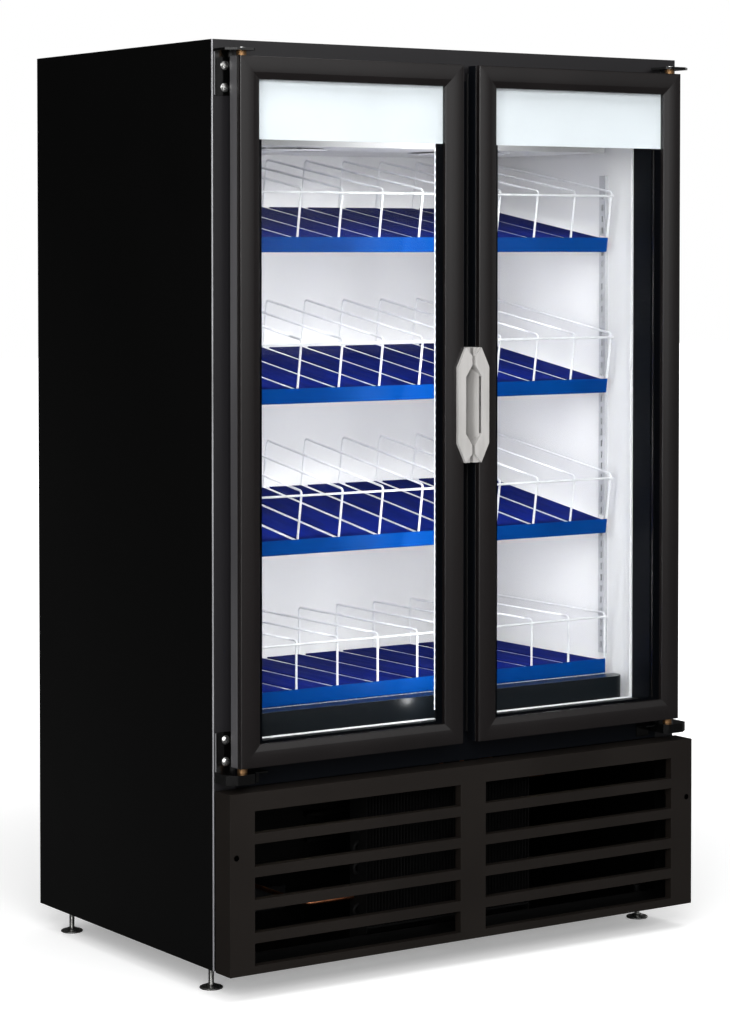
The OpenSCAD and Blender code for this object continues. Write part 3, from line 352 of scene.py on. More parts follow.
def lamp_lens():
    """Emission that rises over each diode: strength = low + rise * (0.5 + 0.5 sin(2 pi z / pitch)) ** 2."""
    made = finish("lamp_lens", "f4f6ff", 0.3)
    tree = made.node_tree
    shader = tree.nodes["Principled BSDF"]
    shader.inputs["Emission Color"].default_value = (0.95, 0.97, 1, 1)
    split = tree.nodes.new("ShaderNodeSeparateXYZ")
    tree.links.new(tree.nodes.new("ShaderNodeTexCoord").outputs["Object"], split.inputs[0])
    wave = maths(tree, "SINE", maths(tree, "MULTIPLY", split.outputs["Z"], 2 * math.pi / DIODE_PITCH))
    crest = maths(tree, "POWER", maths(tree, "MULTIPLY_ADD", wave, 0.5, 0.5), 2.0)
    strength = maths(tree, "MULTIPLY_ADD", crest, GLOW_RISE, GLOW_LOW)
    tree.links.new(strength, shader.inputs["Emission Strength"])
    return made


# %% [markdown]
# ## One finish for each kind of surface
# Each entry has a colour, a roughness and up to three grains. The tint wanders between two colours, the bump
# has a height in metres, and the roughness wanders between two values. A grain is given by its cells to the
# metre, how it is drawn out, and how many layers of detail it has.

# %% Finishes
EVEN = (1, 1, 1)
FINISH = {
    # outer panels: deep black powder coat with orange peel about 1.5 mm across
    "black_panel": coat("black_sheet", "030303", 0.34, bump=(12e-6, 650, EVEN, 1),
                        wander=(0.3, 0.4, 2.2, EVEN, 3), Specular_IOR_Level=0.2),
    # jambs and mullion: smooth black vinyl with a blue cast
    "black_trim": coat("black_trim", "0b0d11", 0.4, bump=(10e-6, 300, (1, 1, 0.2)), Specular_IOR_Level=0.05),
    # cream polyurethane with a cellular skin
    "foam": coat("foam", "e3d3a2", 0.85, tint=("d8c690", "ecdfb6", 60, EVEN, 4), bump=(200e-6, 700)),
    # white baked enamel, a little cool, faintly uneven
    "white_liner": coat("white_liner", "e6e5e6", 0.42, tint=("e3e2e3", "e9e8e9", 6, (1, 1, 0.15)),
                        bump=(12e-6, 500), Specular_IOR_Level=0.4),
    # shelf wire: thick white vinyl that sagged a little as it cured
    "white_wire": coat("wire_coat", "e4e4e7", 0.3, tint=("dcdcdf", "ececee", 35), bump=(30e-6, 240)),
    # glide mats: navy polypropylene with flow lines along the lane
    "navy_mat": coat("navy_plastic", "07165a", 0.6, tint=("061454", "091962", 40, (1, 0.12, 1)),
                     wander=(0.52, 0.66, 90, (1, 0.1, 1)), IOR=1.2, Specular_IOR_Level=0.05),
    # shelf strips: royal blue plastic
    "blue_strip": coat("blue_acrylic", "003b84", 0.42, tint=("003880", "003e88", 9),
                       bump=(10e-6, 140, (0.2, 1, 1)), Specular_IOR_Level=0.04),
    "lamp_lens": lamp_lens(),
    # bright zinc with faint spangle
    "zinc_steel": coat("zinc", "c9c9c6", 0.28, tint=("b4b4b2", "dcdcda", 260), wander=(0.2, 0.38, 900),
                       Metallic=1.0),
    # aluminium fins
    "finned_coil": coat("fin_metal", "b8babd", 0.32, tint=("9fa1a4", "ccced1", 70, (1, 1, 0.05)),
                        Metallic=1.0),
    # condenser and its shroud: dip-painted black, dusty and nearly matt, and kept near black as painted shade
    # for the compartment behind the grille's slots
    "black_coil": coat("coil_black", "060606", 0.7, tint=("040404", "0a0a0a", 60, EVEN, 4),
                       Specular_IOR_Level=0.15),
    # fan motors: grey cast and pressed steel
    "motor_grey": coat("motor_metal", "3a3b3d", 0.5, tint=("303133", "454648", 45, EVEN, 4), Metallic=0.6),
    # fans, knob, drain pan: black moulded plastic
    "black_plastic": coat("moulded_black", "141416", 0.45, bump=(10e-6, 1500), wander=(0.4, 0.52, 25)),
    # compressor: thick gloss enamel over a drawn shell
    "black_enamel": coat("compressor_enamel", "0a0a0b", 0.25, bump=(60e-6, 120, EVEN, 3),
                         Coat_Weight=0.4, Coat_Roughness=0.15),
    # control box: a dark grey sheet, painted this dark as shade for the compartment behind the grille's slots
    "grey_box": coat("box_paint", "202123", 0.5, tint=("1b1c1e", "26272a", 55, EVEN, 4)),
    # refrigerant lines: dull drawn copper
    "copper": coat("copper_tube", "b5714a", 0.34, tint=("8d5334", "c98660", 30, EVEN, 4), Metallic=1.0),
    # front grille: brown-black textured powder
    "grille_black": coat("grille_coat", "16120f", 0.5, tint=("14100d", "181411", 4), bump=(20e-6, 1100),
                         Specular_IOR_Level=0.2),
    # hinges: gloss black enamel over pressed steel
    "hinge_black": coat("hinge_coat", "040404", 0.16, bump=(15e-6, 420)),
    # door frames: charcoal coat with a warm cast and a very fine tooth
    "door_black": coat("door_trim", "131010", 0.26, tint=("110e0e", "151212", 5, (1, 1, 0.3)),
                       bump=(8e-6, 1500, EVEN, 1)),
    "door_glass": clear_glass(),
    # gaskets: soft black vinyl with a dry surface
    "gasket_rubber": coat("gasket_rubber", "0d0d0e", 0.62, tint=("0b0b0c", "121214", 120), bump=(20e-6, 800),
                          Specular_IOR_Level=0.35),
    # header bands: bare white with a faint painted glow of their own
    "header_white": coat("band_white_painted_glow", "f3f6f8", 0.4, tint=("f1f4f6", "f5f8fa", 5),
                         Emission_Color=(0.97, 0.98, 1, 1), Emission_Strength=0.03),
    # handles: light grey satin paint
    "handle_grey": coat("handle_paint", "a9a7a5", 0.34, tint=("a3a19f", "afadab", 60, (1, 1, 0.1)),
                        bump=(6e-6, 1300)),
    # hinge bushes: dull brown sintered bronze
    "bush_brass": coat("sintered_bronze", "8a6a48", 0.5, tint=("785a3c", "9c7a56", 900), Metallic=1.0),
}
OWN_COAT = {
    # the panels' black coat painted a shade greyer where it faces the front: painted light
    "header_panel": coat("front_coat_painted_light", "1c1b1d", 0.32, bump=(12e-6, 650, EVEN, 1), Specular_IOR_Level=0.4),
    # a thin light grey coat over galvanised steel
    "pilasters": coat("pilaster_coat", "bcbcc0", 0.4, tint=("b4b4b8", "c4c4c8", 40, (1, 1, 0.2))),
}
# pale satin strips: a painted highlight on the side panels' front folds and the hinge legs' outer edges
PALE_HIGHLIGHT_COAT = coat("painted_highlight_pale", "77777a", 0.4, tint=("6a6a6c", "858588", 14, (1, 1, 0.2)), Metallic=0.3)
# grey satin bands: a painted highlight on three outer edges of each door frame
GREY_HIGHLIGHT_COAT = coat("painted_highlight_grey", "403f41", 0.4, tint=("3a393b", "474648", 20, (1, 1, 0.1)))
SILL_VINYL = coat("sill_vinyl", "0f1317", 0.28, bump=(10e-6, 300, (0.2, 1, 1)), Specular_IOR_Level=0.3)
# matt pure black: painted shade in the grille's screw holes, on the screws and the holes' rims
HOLE_SHADE_COAT = finish("painted_hole_shade", "020202", 0.9, Specular_IOR_Level=0)

# %% The finish of each node
PAINT = {
    "black_panel": ["side_panel_left", "side_panel_right", "top_panel", "back_panel", "header_panel",
                    "base_pan", "rear_grille"],
    "black_trim": ["face_frame", "mullion", "sill_cover", "left_door_spacer", "right_door_spacer"],
    "foam": ["insulation"],
    "white_liner": ["liner", "evaporator_cover"],
    "white_wire": ["shelf_clips", "pilasters"]
    + [f"shelf_{kind}_{n}" for n in range(1, 5) for kind in ("deck", "dividers")],
    "lamp_lens": ["led_strips"],
    "zinc_steel": ["leveling_feet", "hinge_pins", "screws"],
    "navy_mat": ["shelf_glides"],
    "blue_strip": ["shelf_strips"],
    "finned_coil": ["evaporator_coil"],
    "black_coil": ["condenser_coil", "condenser_fan_motor"],
    "motor_grey": ["evaporator_fan_motors"],
    "black_plastic": ["evaporator_fan_left", "evaporator_fan_right", "condenser_fan", "drain_pan",
                      "thermostat_knob", "light_switch"],
    "black_enamel": ["compressor"],
    "grey_box": ["control_box"],
    "copper": ["refrigerant_pipes"],
    "grille_black": ["front_grille"],
    "hinge_black": ["top_hinges", "bottom_hinges"],
    "door_black": ["left_door_frame", "right_door_frame"],
    "door_glass": ["left_door_glass", "right_door_glass"],
    "gasket_rubber": ["left_door_gasket", "right_door_gasket"],
    "header_white": ["left_header_band", "right_header_band"],
    "handle_grey": ["left_handle", "right_handle"],
    "bush_brass": ["left_door_bushings", "right_door_bushings"],
}
node_coat = {name: FINISH[kind] for kind, names in PAINT.items() for name in names}
unpainted = set(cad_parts) - set(node_coat)
for name, material in (node_coat | OWN_COAT).items():
    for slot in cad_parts[name].material_slots:
        slot.material = material
print("finishes", len(FINISH) + len(OWN_COAT), "nodes without one", sorted(unpainted))

# %% [markdown]
# ## How the new pieces are made
# A sheet, a rail, a wire or a mat is a surface that follows a rule, so its points are worked out as whole
# arrays: an outline is repeated along a path, and neighbours are joined into quads. One function turns
# such arrays into an object, closes its seams and turns its faces outwards. It also makes the piece ride
# on its body.

# %% Arrays to objects
MERGE = 0.000002
GRID_SHARP = 35
HAIR = 0.00005        # how far a thin coat of its own stands proud of the surface under it


def quads(rows, columns, around=False):
    """Corner numbers of the quads of a grid of points; around joins the last column to the first."""
    i, j = np.meshgrid(np.arange(rows - 1), np.arange(columns - (not around)), indexing="ij")
    k = (j + 1) % columns
    corners = [i * columns + j, i * columns + k, (i + 1) * columns + k, (i + 1) * columns + j]
    return np.stack(corners, -1).reshape(-1, 4)


def loft(rings, closed=False):
    """A solid through outlines of equal length: quads between neighbours, closed by ends or as a ring."""
    rows, columns = rings.shape[:2]
    if closed:
        rings = np.concatenate([rings, rings[:1]])
        return rings.reshape(-1, 3), [quads(rows + 1, columns, True)]
    last = (rows - 1) * columns
    ends = np.stack([np.arange(columns)[::-1], last + np.arange(columns)])
    return rings.reshape(-1, 3), [quads(rows, columns, True), ends]


def slab(top, bottom):
    """A solid between two grids of points of the same size, closed round its rim."""
    rows, columns = top.shape[:2]
    count = rows * columns
    index = np.arange(count).reshape(rows, columns)
    rim = np.concatenate([index[0], index[1:, -1], index[-1, -2::-1], index[-2:0:-1, 0]])
    after = np.roll(rim, -1)
    sides = np.stack([rim, after, after + count, rim + count], 1)
    grid = quads(rows, columns)
    return np.concatenate([top.reshape(-1, 3), bottom.reshape(-1, 3)]), [grid, grid + count, sides]


def join(forms):
    """Several forms as one, with the later corner numbers moved on by the points before them."""
    starts = np.cumsum([0] + [len(points) for points, _ in forms])
    faces = [block + start for (_, blocks), start in zip(forms, starts) for block in blocks]
    return np.concatenate([points for points, _ in forms]), faces


def mirrored(form):
    """The form and its mirror image across the middle plane."""
    points, faces = form
    return join([form, (points * (-1, 1, 1), faces)])


def piece(name, body, slot, form, stands_for=(), material=None, sharp=GRID_SHARP):
    """An object from points and faces that rides on a body and takes the finish of a slot."""
    points, faces = form
    mesh = bpy.data.meshes.new(name)
    mesh.from_pydata(points.tolist(), [], [corners for block in faces for corners in block.tolist()])
    shell = bmesh.new()
    shell.from_mesh(mesh)
    bmesh.ops.remove_doubles(shell, verts=shell.verts, dist=MERGE)
    bmesh.ops.recalc_face_normals(shell, faces=shell.faces)
    shell.to_mesh(mesh)
    shell.free()
    mesh.polygons.foreach_set("use_smooth", np.ones(len(mesh.polygons), bool))
    mesh.set_sharp_from_angle(angle=math.radians(sharp))
    mesh.materials.append(material or FINISH[slot])
    made = bpy.data.objects.new(name, mesh)
    bpy.context.scene.collection.objects.link(made)
    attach(made, body)
    if stands_for:
        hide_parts(*stands_for)
    print(name, len(mesh.polygons), "faces")
    return made


def softened(name, body, slot, source, width, segments=2):
    """A copy of a node's triangles with its doubles merged, its flat faces joined and its edges rounded."""
    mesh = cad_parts[source].data
    points = np.empty(len(mesh.vertices) * 3)
    mesh.vertices.foreach_get("co", points)
    faces = np.empty(len(mesh.loops), int)
    mesh.loops.foreach_get("vertex_index", faces)
    made = piece(name, body, slot, (points.reshape(-1, 3), [faces.reshape(-1, 3)]), (source,))
    shell = bmesh.new()
    shell.from_mesh(made.data)
    bmesh.ops.dissolve_limit(shell, angle_limit=math.radians(1), verts=shell.verts, edges=shell.edges)
    shell.to_mesh(made.data)
    shell.free()
    rounding = made.modifiers.new("rounding", "BEVEL")
    rounding.width = width
    rounding.segments = segments
    rounding.limit_method = "ANGLE"
    rounding.angle_limit = math.radians(30)
    rounding.harden_normals = True
    return made


# %% Outlines and paths
def rounded(corners, radii, steps=5):
    """An outline with an arc at each corner, tangent to both legs r * tan(half the turn) away from it."""
    corners = np.asarray(corners, float)
    points = []
    for place, radius in enumerate(radii):
        p = corners[place]
        before = corners[place - 1] - p
        after = corners[(place + 1) % len(corners)] - p
        before, after = before / np.linalg.norm(before), after / np.linalg.norm(after)
        if radius == 0:
            points.append(p[None])
            continue
        half = math.acos(np.clip(before @ after, -1, 1)) / 2
        centre = p + (before + after) / np.linalg.norm(before + after) * radius / math.sin(half)
        start = p + before * radius / math.tan(half) - centre
        end = p + after * radius / math.tan(half) - centre
        turn = math.pi - 2 * half
        t = np.linspace(0, 1, steps)[:, None]
        points.append(centre + (np.sin((1 - t) * turn) * start + np.sin(t * turn) * end) / math.sin(turn))
    return np.concatenate(points)


def mitred_rails(profile, low, high, gap=0.0001, which=(0, 1, 2, 3)):
    """Rails (left, right, lower, upper) of a rectangle: a point w inwards ends w + gap from the corner."""
    w, y = profile.T
    near, far = w + gap, -w - gap
    (x0, z0), (x1, z1) = low, high
    spans = [
        ((x0 + w, y, z0 + near), (x0 + w, y, z1 + far)),
        ((x1 - w, y, z0 + near), (x1 - w, y, z1 + far)),
        ((x0 + near, y, z0 + w), (x1 + far, y, z0 + w)),
        ((x0 + near, y, z1 - w), (x1 + far, y, z1 - w)),
    ]
    return join([loft(np.stack([np.stack(end, -1) for end in spans[n]])) for n in which])


def tube(path, radius, normal, sides=10, closed=False):
    """A round tube along a flat path: each ring lies in the plane of the path's normal and its own side."""
    path = np.asarray(path, float)
    normal = np.asarray(normal, float)
    along = np.roll(path, -1, 0) - np.roll(path, 1, 0)
    if not closed:
        along[0], along[-1] = path[1] - path[0], path[-1] - path[-2]
    side = np.cross(along, normal)
    side /= np.linalg.norm(side, axis=1)[:, None]
    a = np.linspace(0, 2 * math.pi, sides, endpoint=False)[None, :, None]
    rings = path[:, None] + radius * (np.cos(a) * side[:, None] + np.sin(a) * normal)
    return loft(rings, closed)


def lathe(profile, at, axis, steps=32):
    """Rows (r, h) turned round an axis: at + r (cos a u + sin a v) + h axis, with u and v square to it."""
    axis = np.asarray(axis, float)
    u = np.array([1.0, 0, 0])
    v = np.cross(axis, u)
    profile = np.asarray(profile, float)
    a = np.linspace(0, 2 * math.pi, steps, endpoint=False)[None, :, None]
    radius, height = profile[:, 0, None, None], profile[:, 1, None, None]
    return loft(np.asarray(at) + radius * (np.cos(a) * u + np.sin(a) * v) + height * axis)


def to_plane(outline, plane_point, first, second):
    """Outline points (a, b) placed in space: plane_point + a first + b second."""
    a, b = outline[:, 0, None], outline[:, 1, None]
    return np.asarray(plane_point) + a * np.asarray(first) + b * np.asarray(second)


def upright(outline, low, high):
    """An outline in X and Y raised from low to high."""
    rings = np.stack([np.column_stack([outline, np.full(len(outline), z)]) for z in (low, high)])
    return loft(rings)


def flat_bar(low, high):
    """A bar between two opposite corners."""
    (x0, y0, z0), (x1, y1, z1) = low, high
    return upright(np.array([(x0, y0), (x1, y0), (x1, y1), (x0, y1)]), z0, z1)


# %% [markdown]
# ## Side panels
# Each side is one sheet, folded round the front and the back. The front fold catches the light as a thin pale
# line from top to bottom. A fold of 3 mm is less than two pixels wide here, so the line is a painted
# highlight: a strip of its own with a pale satin coat, a hair proud of the fold.

# %% Side panels and their front folds
SKIN = 0.0012
FOLD_R = 0.003
SIDE_RETURN, REAR_RETURN = 0.052, 0.018
FOLD_FROM, FOLD_TO = -76, -12         # the part of the fold that carries the painted highlight, in degrees
FACE_PROUD = 0.00004
FACE_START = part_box("front_grille")[1].z - 0.012


def side_outline():
    """The folded sheet seen from above: outer line out and back, then the same line one skin inside."""
    front_x, rear_x, inner_x = HALF_W - SIDE_RETURN, HALF_W - REAR_RETURN, HALF_W - SKIN
    outer = [(front_x, FRONT_Y), (HALF_W, FRONT_Y), (HALF_W, BACK_Y), (rear_x, BACK_Y)]
    inner = [(rear_x, BACK_Y - SKIN), (inner_x, BACK_Y - SKIN),
             (inner_x, FRONT_Y + SKIN), (front_x, FRONT_Y + SKIN)]
    bend = FOLD_R - SKIN
    return rounded(outer + inner, [0, FOLD_R, FOLD_R, 0, 0, bend, bend, 0], 8)


panel = upright(side_outline(), BASE_Z, TOP_Z)
a = np.radians(np.linspace(FOLD_FROM, FOLD_TO, 9))
outer, inner = (np.column_stack([HALF_W - FOLD_R + r * np.cos(a), FRONT_Y + FOLD_R + r * np.sin(a)])
                for r in (FOLD_R + HAIR, FOLD_R - 0.0003))
fold_line = upright(np.concatenate([outer, inner[::-1]]), BASE_Z, TOP_Z)
# the side's front return, a hair proud, in the greyer front coat: painted light over the black sheet
return_face = flat_bar((HALF_W - SIDE_RETURN, FRONT_Y - FACE_PROUD, FACE_START),
                       (HALF_W - FOLD_R, FRONT_Y + FOLD_R / 10, TOP_Z))
for side, sign in (("left", -1), ("right", 1)):
    sheet, face, line = ((points * (sign, 1, 1), faces) for points, faces in (panel, return_face, fold_line))
    piece(f"return_face_{side}", "cabinet", "black_panel", face, material=OWN_COAT["header_panel"])
    piece(f"sheet_side_{side}", "cabinet", "black_panel", sheet, (f"side_panel_{side}",))
    # the fold's pale strip is a painted highlight
    piece(f"fold_line_{side}", "cabinet", "black_panel", line, material=PALE_HIGHLIGHT_COAT)

# %% [markdown]
# ## Door frames
# The frames are four extruded rails with mitred corners. Their section has a rounded nose, a groove down the
# outer edge and a broad bevel that leads in to the glass. The section is carried along each rail and cut at
# 45 degrees, so the mitre shows as a hairline, as on the real frame. Three outer edges carry a painted
# highlight in satin grey, and the edge where the doors meet is black. Thin bands of their own carry both.

# %% Door frames
RAIL_W = 0.046
BEVEL_W, BEVEL_D = 0.014, 0.003
GLASS_IN, GLASS_FRONT, GLASS_BACK = 0.013, 0.013, 0.037
RAIL_D, GROOVE_D = 0.042, 0.002
EDGE_GROOVE = (0.028, 0.0305)
CROWN = 0.0006        # how far the face falls away at its edges


def rail_outline(face):
    """Section of a rail as (inwards, y), from its rear outer corner forwards and round to the glass."""
    back = face + RAIL_D
    flat = RAIL_W - BEVEL_W
    share = np.linspace(-1, 1, 9)
    crown = [(flat * (t + 1) / 2, face + CROWN * t * t) for t in share[1:-1]]
    corners = [
        (0, back), (0, back - EDGE_GROOVE[0]), (GROOVE_D, back - EDGE_GROOVE[0]),
        (GROOVE_D, back - EDGE_GROOVE[1]), (0, back - EDGE_GROOVE[1]),
        (0, face + CROWN), *crown, (flat, face + CROWN), (RAIL_W, face + BEVEL_D),
        (RAIL_W, face + GLASS_FRONT), (RAIL_W - GLASS_IN, face + GLASS_FRONT),
        (RAIL_W - GLASS_IN, face + GLASS_BACK), (RAIL_W, face + GLASS_BACK), (RAIL_W, back),
    ]
    smooth = [0] * len(crown)
    return rounded(corners, [0.002, 0.0006, 0, 0, 0.0006, 0.0015, *smooth, 0.003, 0.0015, 0, 0, 0, 0, 0.002])


BAND_T, BAND_REAR, BAND_STEP = 0.0004, 0.0022, 0.0008
for side, outer in (("left", 0), ("right", 1)):
    low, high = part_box(f"{side}_door_frame")
    rails = mitred_rails(rail_outline(low.y), (low.x, low.z), (high.x, high.z))
    piece(f"rails_{side}", f"{side}_door", "door_black", rails, (f"{side}_door_frame",))
    rear, step = high.y - BAND_REAR, high.y - EDGE_GROOVE[0] + BAND_STEP
    band = np.array([(0, rear), (0, step), (BAND_T, step), (BAND_T, rear)])
    corners = (low.x - HAIR, low.z - HAIR), (high.x + HAIR, high.z + HAIR)
    # the three outer edges: bands of painted highlight
    edge_highlights = mitred_rails(band, *corners, which=(outer, 2, 3))
    piece(f"edge_highlight_bands_{side}", f"{side}_door", "door_black", edge_highlights, material=GREY_HIGHLIGHT_COAT)
    meeting = mitred_rails(band, *corners, which=(1 - outer,))
    piece(f"meeting_band_{side}", f"{side}_door", "door_black", meeting, material=FINISH["black_trim"])

# %% [markdown]
# ## Gaskets
# A magnetic gasket is a soft extrusion: a flat foot in the door, a bellows that gives, and a bulb that holds
# the magnet. Seen with the door open, its folds run round the frame as fine lines.

# %% Gaskets
GASKET_W = 0.014


def gasket_outline(foot_y):
    """Section as (inwards, y): the foot, two folds on each side, and the magnet's bulb."""
    half = [(0, 0), (0, 0.0025), (0.003, 0.0026), (0.0018, 0.0045), (0.0045, 0.0062), (0.0018, 0.0082),
            (0.001, 0.0098), (0.001, 0.0147)]
    other = [(GASKET_W - w, y) for w, y in half[::-1]]
    radii = [0, 0.0006, 0.0003, 0.0006, 0.0006, 0.0005, 0.0006, 0.0012]
    return rounded(half + other, radii + radii[::-1], 4) + (0, foot_y)


for side in ("left", "right"):
    low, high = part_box(f"{side}_door_gasket")
    seal = mitred_rails(gasket_outline(low.y), (low.x, low.z), (high.x, high.z), 0)
    piece(f"seal_{side}", f"{side}_door", "gasket_rubber", seal, (f"{side}_door_gasket",))

# %% [markdown]
# ## Glass borders
# A black border is fired on to the rear of the front pane. It hides the spacer and shows inside the frame as
# a dark margin, up to the header band. Three thin flat bars make it.

# %% Glass borders
BORDER_START, BORDER_END, BORDER_SILL, BORDER_T = 0.0092, 0.0255, 0.0165, 0.0002
for side in ("left", "right"):
    low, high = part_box(f"{side}_door_glass")
    band_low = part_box(f"{side}_header_band")[0]
    near, far, top = band_low.y, band_low.y + BORDER_T, band_low.z - HAIR
    start, sill = low.z + BORDER_START, low.z + BORDER_SILL
    bars = [
        flat_bar((low.x + BORDER_START, near, sill), (low.x + BORDER_END, far, top)),
        flat_bar((high.x - BORDER_END, near, sill), (high.x - BORDER_START, far, top)),
        flat_bar((low.x + BORDER_START, near, start), (high.x - BORDER_START, far, sill)),
    ]
    piece(f"glass_border_{side}", f"{side}_door", "black_trim", join(bars))

# %% [markdown]
# ## Handles, hinges and grille
# These castings and pressings have the right shape in the frame, but perfectly sharp edges. Real edges are
# rounded by the mould or by the coat, and the rounding draws the thin lights along them. A Bevel modifier
# on a merged copy does this, and keeps every face where it was.

# %% Softened copies
for side in ("left", "right"):
    softened(f"grip_{side}", f"{side}_door", "handle_grey", f"{side}_handle", 0.0014, 3)
softened("hinges_upper", "cabinet", "hinge_black", "top_hinges", 0.0007)
softened("hinges_lower", "cabinet", "hinge_black", "bottom_hinges", 0.0007)
softened("grille_panel", "cabinet", "grille_black", "front_grille", 0.0009)
softened("cap_panel", "cabinet", "black_panel", "top_panel", 0.0008)
sill_box = softened("sill_box", "cabinet", "black_trim", "sill_cover", 0.0016)
sill_box.data.materials[0] = SILL_VINYL

# %% [markdown]
# ## Painted highlights on the hinge legs
# The outer edge of each hinge leg shows a thin bright highlight. The line is less than a millimetre wide, so
# it is painted: a flat bar of its own over the edge, in the pale highlight finish of the cabinet's fold.

# %% Leg edges
LEG_X, LEG_H, LEG_T = HALF_W - 0.005, 0.088, 0.003
LEG_FACE = FRONT_Y - LEG_T
LEG_EDGE_W = 0.0006
LEG_SPANS = [(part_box("top_hinges")[1].z - LEG_H - 0.004, LEG_H - 0.002),
             (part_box("bottom_hinges")[1].z - 0.079, LEG_H - 0.01)]
edges = [flat_bar((LEG_X - LEG_EDGE_W, LEG_FACE - 2 * HAIR, z), (LEG_X + 2 * HAIR, FRONT_Y, z + height))
         for z, height in LEG_SPANS]
piece("leg_edges", "cabinet", "hinge_black", mirrored(join(edges)), material=PALE_HIGHLIGHT_COAT)

# %% [markdown]
# ## Screws
# The hinges are held by hexagonal screws with a washer face and a driver slot. A hexagon is a lathe with six
# steps whose top is chamfered, and the slot is the gap between the halves of a low dome. The grille's two
# screws sit deep in their holes, and each hole has a rim; screws and rims are a matt pure black, painted
# shade for the dark in the holes.

# %% Screws
SCREW_X = HALF_W - 0.028
top_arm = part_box("top_hinges")[1].z - 0.005
low_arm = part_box("bottom_hinges")[1].z - 0.08
HINGE_SCREW_Z = [top_arm - 0.028, top_arm - 0.072, low_arm + 0.02, low_arm + 0.064]
WASHER = np.array([(0, 0), (9.2, 0), (9.2, 0.9), (8.6, 1.3), (0, 1.3)]) / 1000
HEXAGON = np.array([(0, 1), (7.1, 1), (7.1, 3.8), (6.2, 4.6), (0, 4.6)]) / 1000
DOME_R, DOME_TURN = 0.0053, 1.2
PAN_HEAD = np.array([(0, 0), (4.7, 0), (4.4, 1.8), (3.4, 3.0), (1.4, 3.4), (1.0, 1.8), (0, 1.8)]) / 1000
HOLE_RIM = np.array([(0, 0), (6.2, 0), (6.2, 6.02), (4.8, 6.02), (4.8, 0.2), (0, 0.2)]) / 1000
FORWARDS = (0, -1, 0)


def hex_screw(x, z):
    """Washer, six-sided head, and a dome in two halves that leaves the driver slot between them."""
    at = (x, LEG_FACE, z)
    forms = [lathe(WASHER, at, FORWARDS), lathe(HEXAGON, at, FORWARDS, 6)]
    for sign in (-1, 1):
        a = np.linspace(-DOME_TURN, DOME_TURN, 9) + (0.5 + 0.5 * sign) * math.pi
        outline = DOME_R * np.column_stack([np.cos(a), np.sin(a)])
        rings = [to_plane(outline * grow, (x, LEG_FACE - rise, z), (0.8, 0, 0.6), (-0.6, 0, 0.8))
                 for grow, rise in ((1, 0.0045), (0.96, 0.0052), (0.7, 0.0056))]
        forms.append(loft(np.stack(rings)))
    return join(forms)


screws = join([hex_screw(sign * SCREW_X, z) for sign in (-1, 1) for z in HINGE_SCREW_Z])
piece("hinge_screws", "cabinet", "zinc_steel", screws, ("screws",), sharp=25)
grille_screw = (HALF_W - 0.0152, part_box("front_grille")[0].y + 0.006, BASE_Z + 0.238)
for name, profile in (("grille_screws", PAN_HEAD), ("grille_hole_rims", HOLE_RIM)):
    heads = mirrored(lathe(profile, grille_screw, FORWARDS))
    piece(name, "cabinet", "hinge_black", heads, material=HOLE_SHADE_COAT)

# %% [markdown]
# ## Feet
# A foot is a dished sole on a threaded stem with a hexagonal collar. The thread is a surface of two
# parameters: the angle a and the height z. Its radius rises and falls once per pitch, and the crest climbs
# with the angle.

# %% Feet
THREAD_PITCH = 0.00175
STEM_R, THREAD_DEPTH, SOLE_R = 0.006, 0.0009, 0.024
FOOT_AT = [(sign * (HALF_W - 0.04), FRONT_Y + y) for sign in (-1, 1) for y in (0.075, 0.67)]


def threaded_stem(x, y, low, high):
    """radius = R - depth * |2 frac(z / pitch - a / 2 pi) - 1| on a grid of heights and angles."""
    z = np.arange(low, high, THREAD_PITCH / 6)[:, None]
    a = np.linspace(0, 2 * math.pi, 24, endpoint=False)[None]
    wave = np.abs(2 * np.mod(z / THREAD_PITCH - a / (2 * math.pi), 1) - 1)
    radius = STEM_R - THREAD_DEPTH * wave
    return loft(np.stack([x + radius * np.cos(a), y + radius * np.sin(a), z + 0 * a], -1))


def foot(x, y):
    """The stem, its collar and the sole, one solid above the other."""
    sole = [(0, 0), (SOLE_R - 0.0012, 0), (SOLE_R, 0.0012), (SOLE_R, 0.0034), (SOLE_R - 0.0016, 0.0046),
            (SOLE_R - 0.006, 0.0052), (0.013, 0.0066), (0.0105, 0.0088), (0.0068, 0.0092), (0, 0.0092)]
    collar = [(0, -0.0002), (0.0085, -0.0002), (0.0098, 0.0008),
              (0.0098, 0.0066), (0.0085, 0.0076), (0, 0.0076)]
    return join([lathe(sole, (x, y, 0), (0, 0, 1), 48), threaded_stem(x, y, 0.009, BASE_Z + 0.018),
                 lathe(collar, (x, y, BASE_Z - 0.008), (0, 0, 1), 6)])


feet = join([foot(x, y) for x, y in FOOT_AT])
piece("threaded_feet", "cabinet", "zinc_steel", feet, ("leveling_feet",), sharp=28)

# %% [markdown]
# ## Glide mats
# The mats that let bottles slide to the front are ribbed along each lane and toothed at the rear. A mat is
# the solid between two grids: the lower one is flat, the upper one rises over each rib, and the rear row
# steps back and forth in teeth. Every mat lies in its shelf's own tilted frame.

# %% Glide mats
SHELF_TILT = math.radians(9)
SHELF_PITCH = 0.3165
SHELF_Y = FRONT_Y + 0.138
SHELF_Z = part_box("shelf_strips")[0].z
DECK_D, LANE_HALF, LANES = 0.475, 0.517, 10
LANE_PITCH = 2 * LANE_HALF / LANES
MAT_UNDER, MAT_T, MAT_GAP = 0.027, 0.003, 0.018
RIB_PITCH, RIB_H = 0.0071, 0.0009
TEETH, TOOTH_H = 12, 0.006
MAT_FRONT, MAT_REAR = 0.012, 0.014


def on_shelf(points, level):
    """Points (x, along, up) of a shelf at its level, turned by its slope about its front lower edge."""
    tilt = SHELF_TILT if level else 0.0
    x, s, n = np.moveaxis(points, -1, 0)
    y = SHELF_Y + s * math.cos(tilt) - n * math.sin(tilt)
    z = SHELF_Z + level * SHELF_PITCH + s * math.sin(tilt) + n * math.cos(tilt)
    return np.stack([x, y, z], -1)


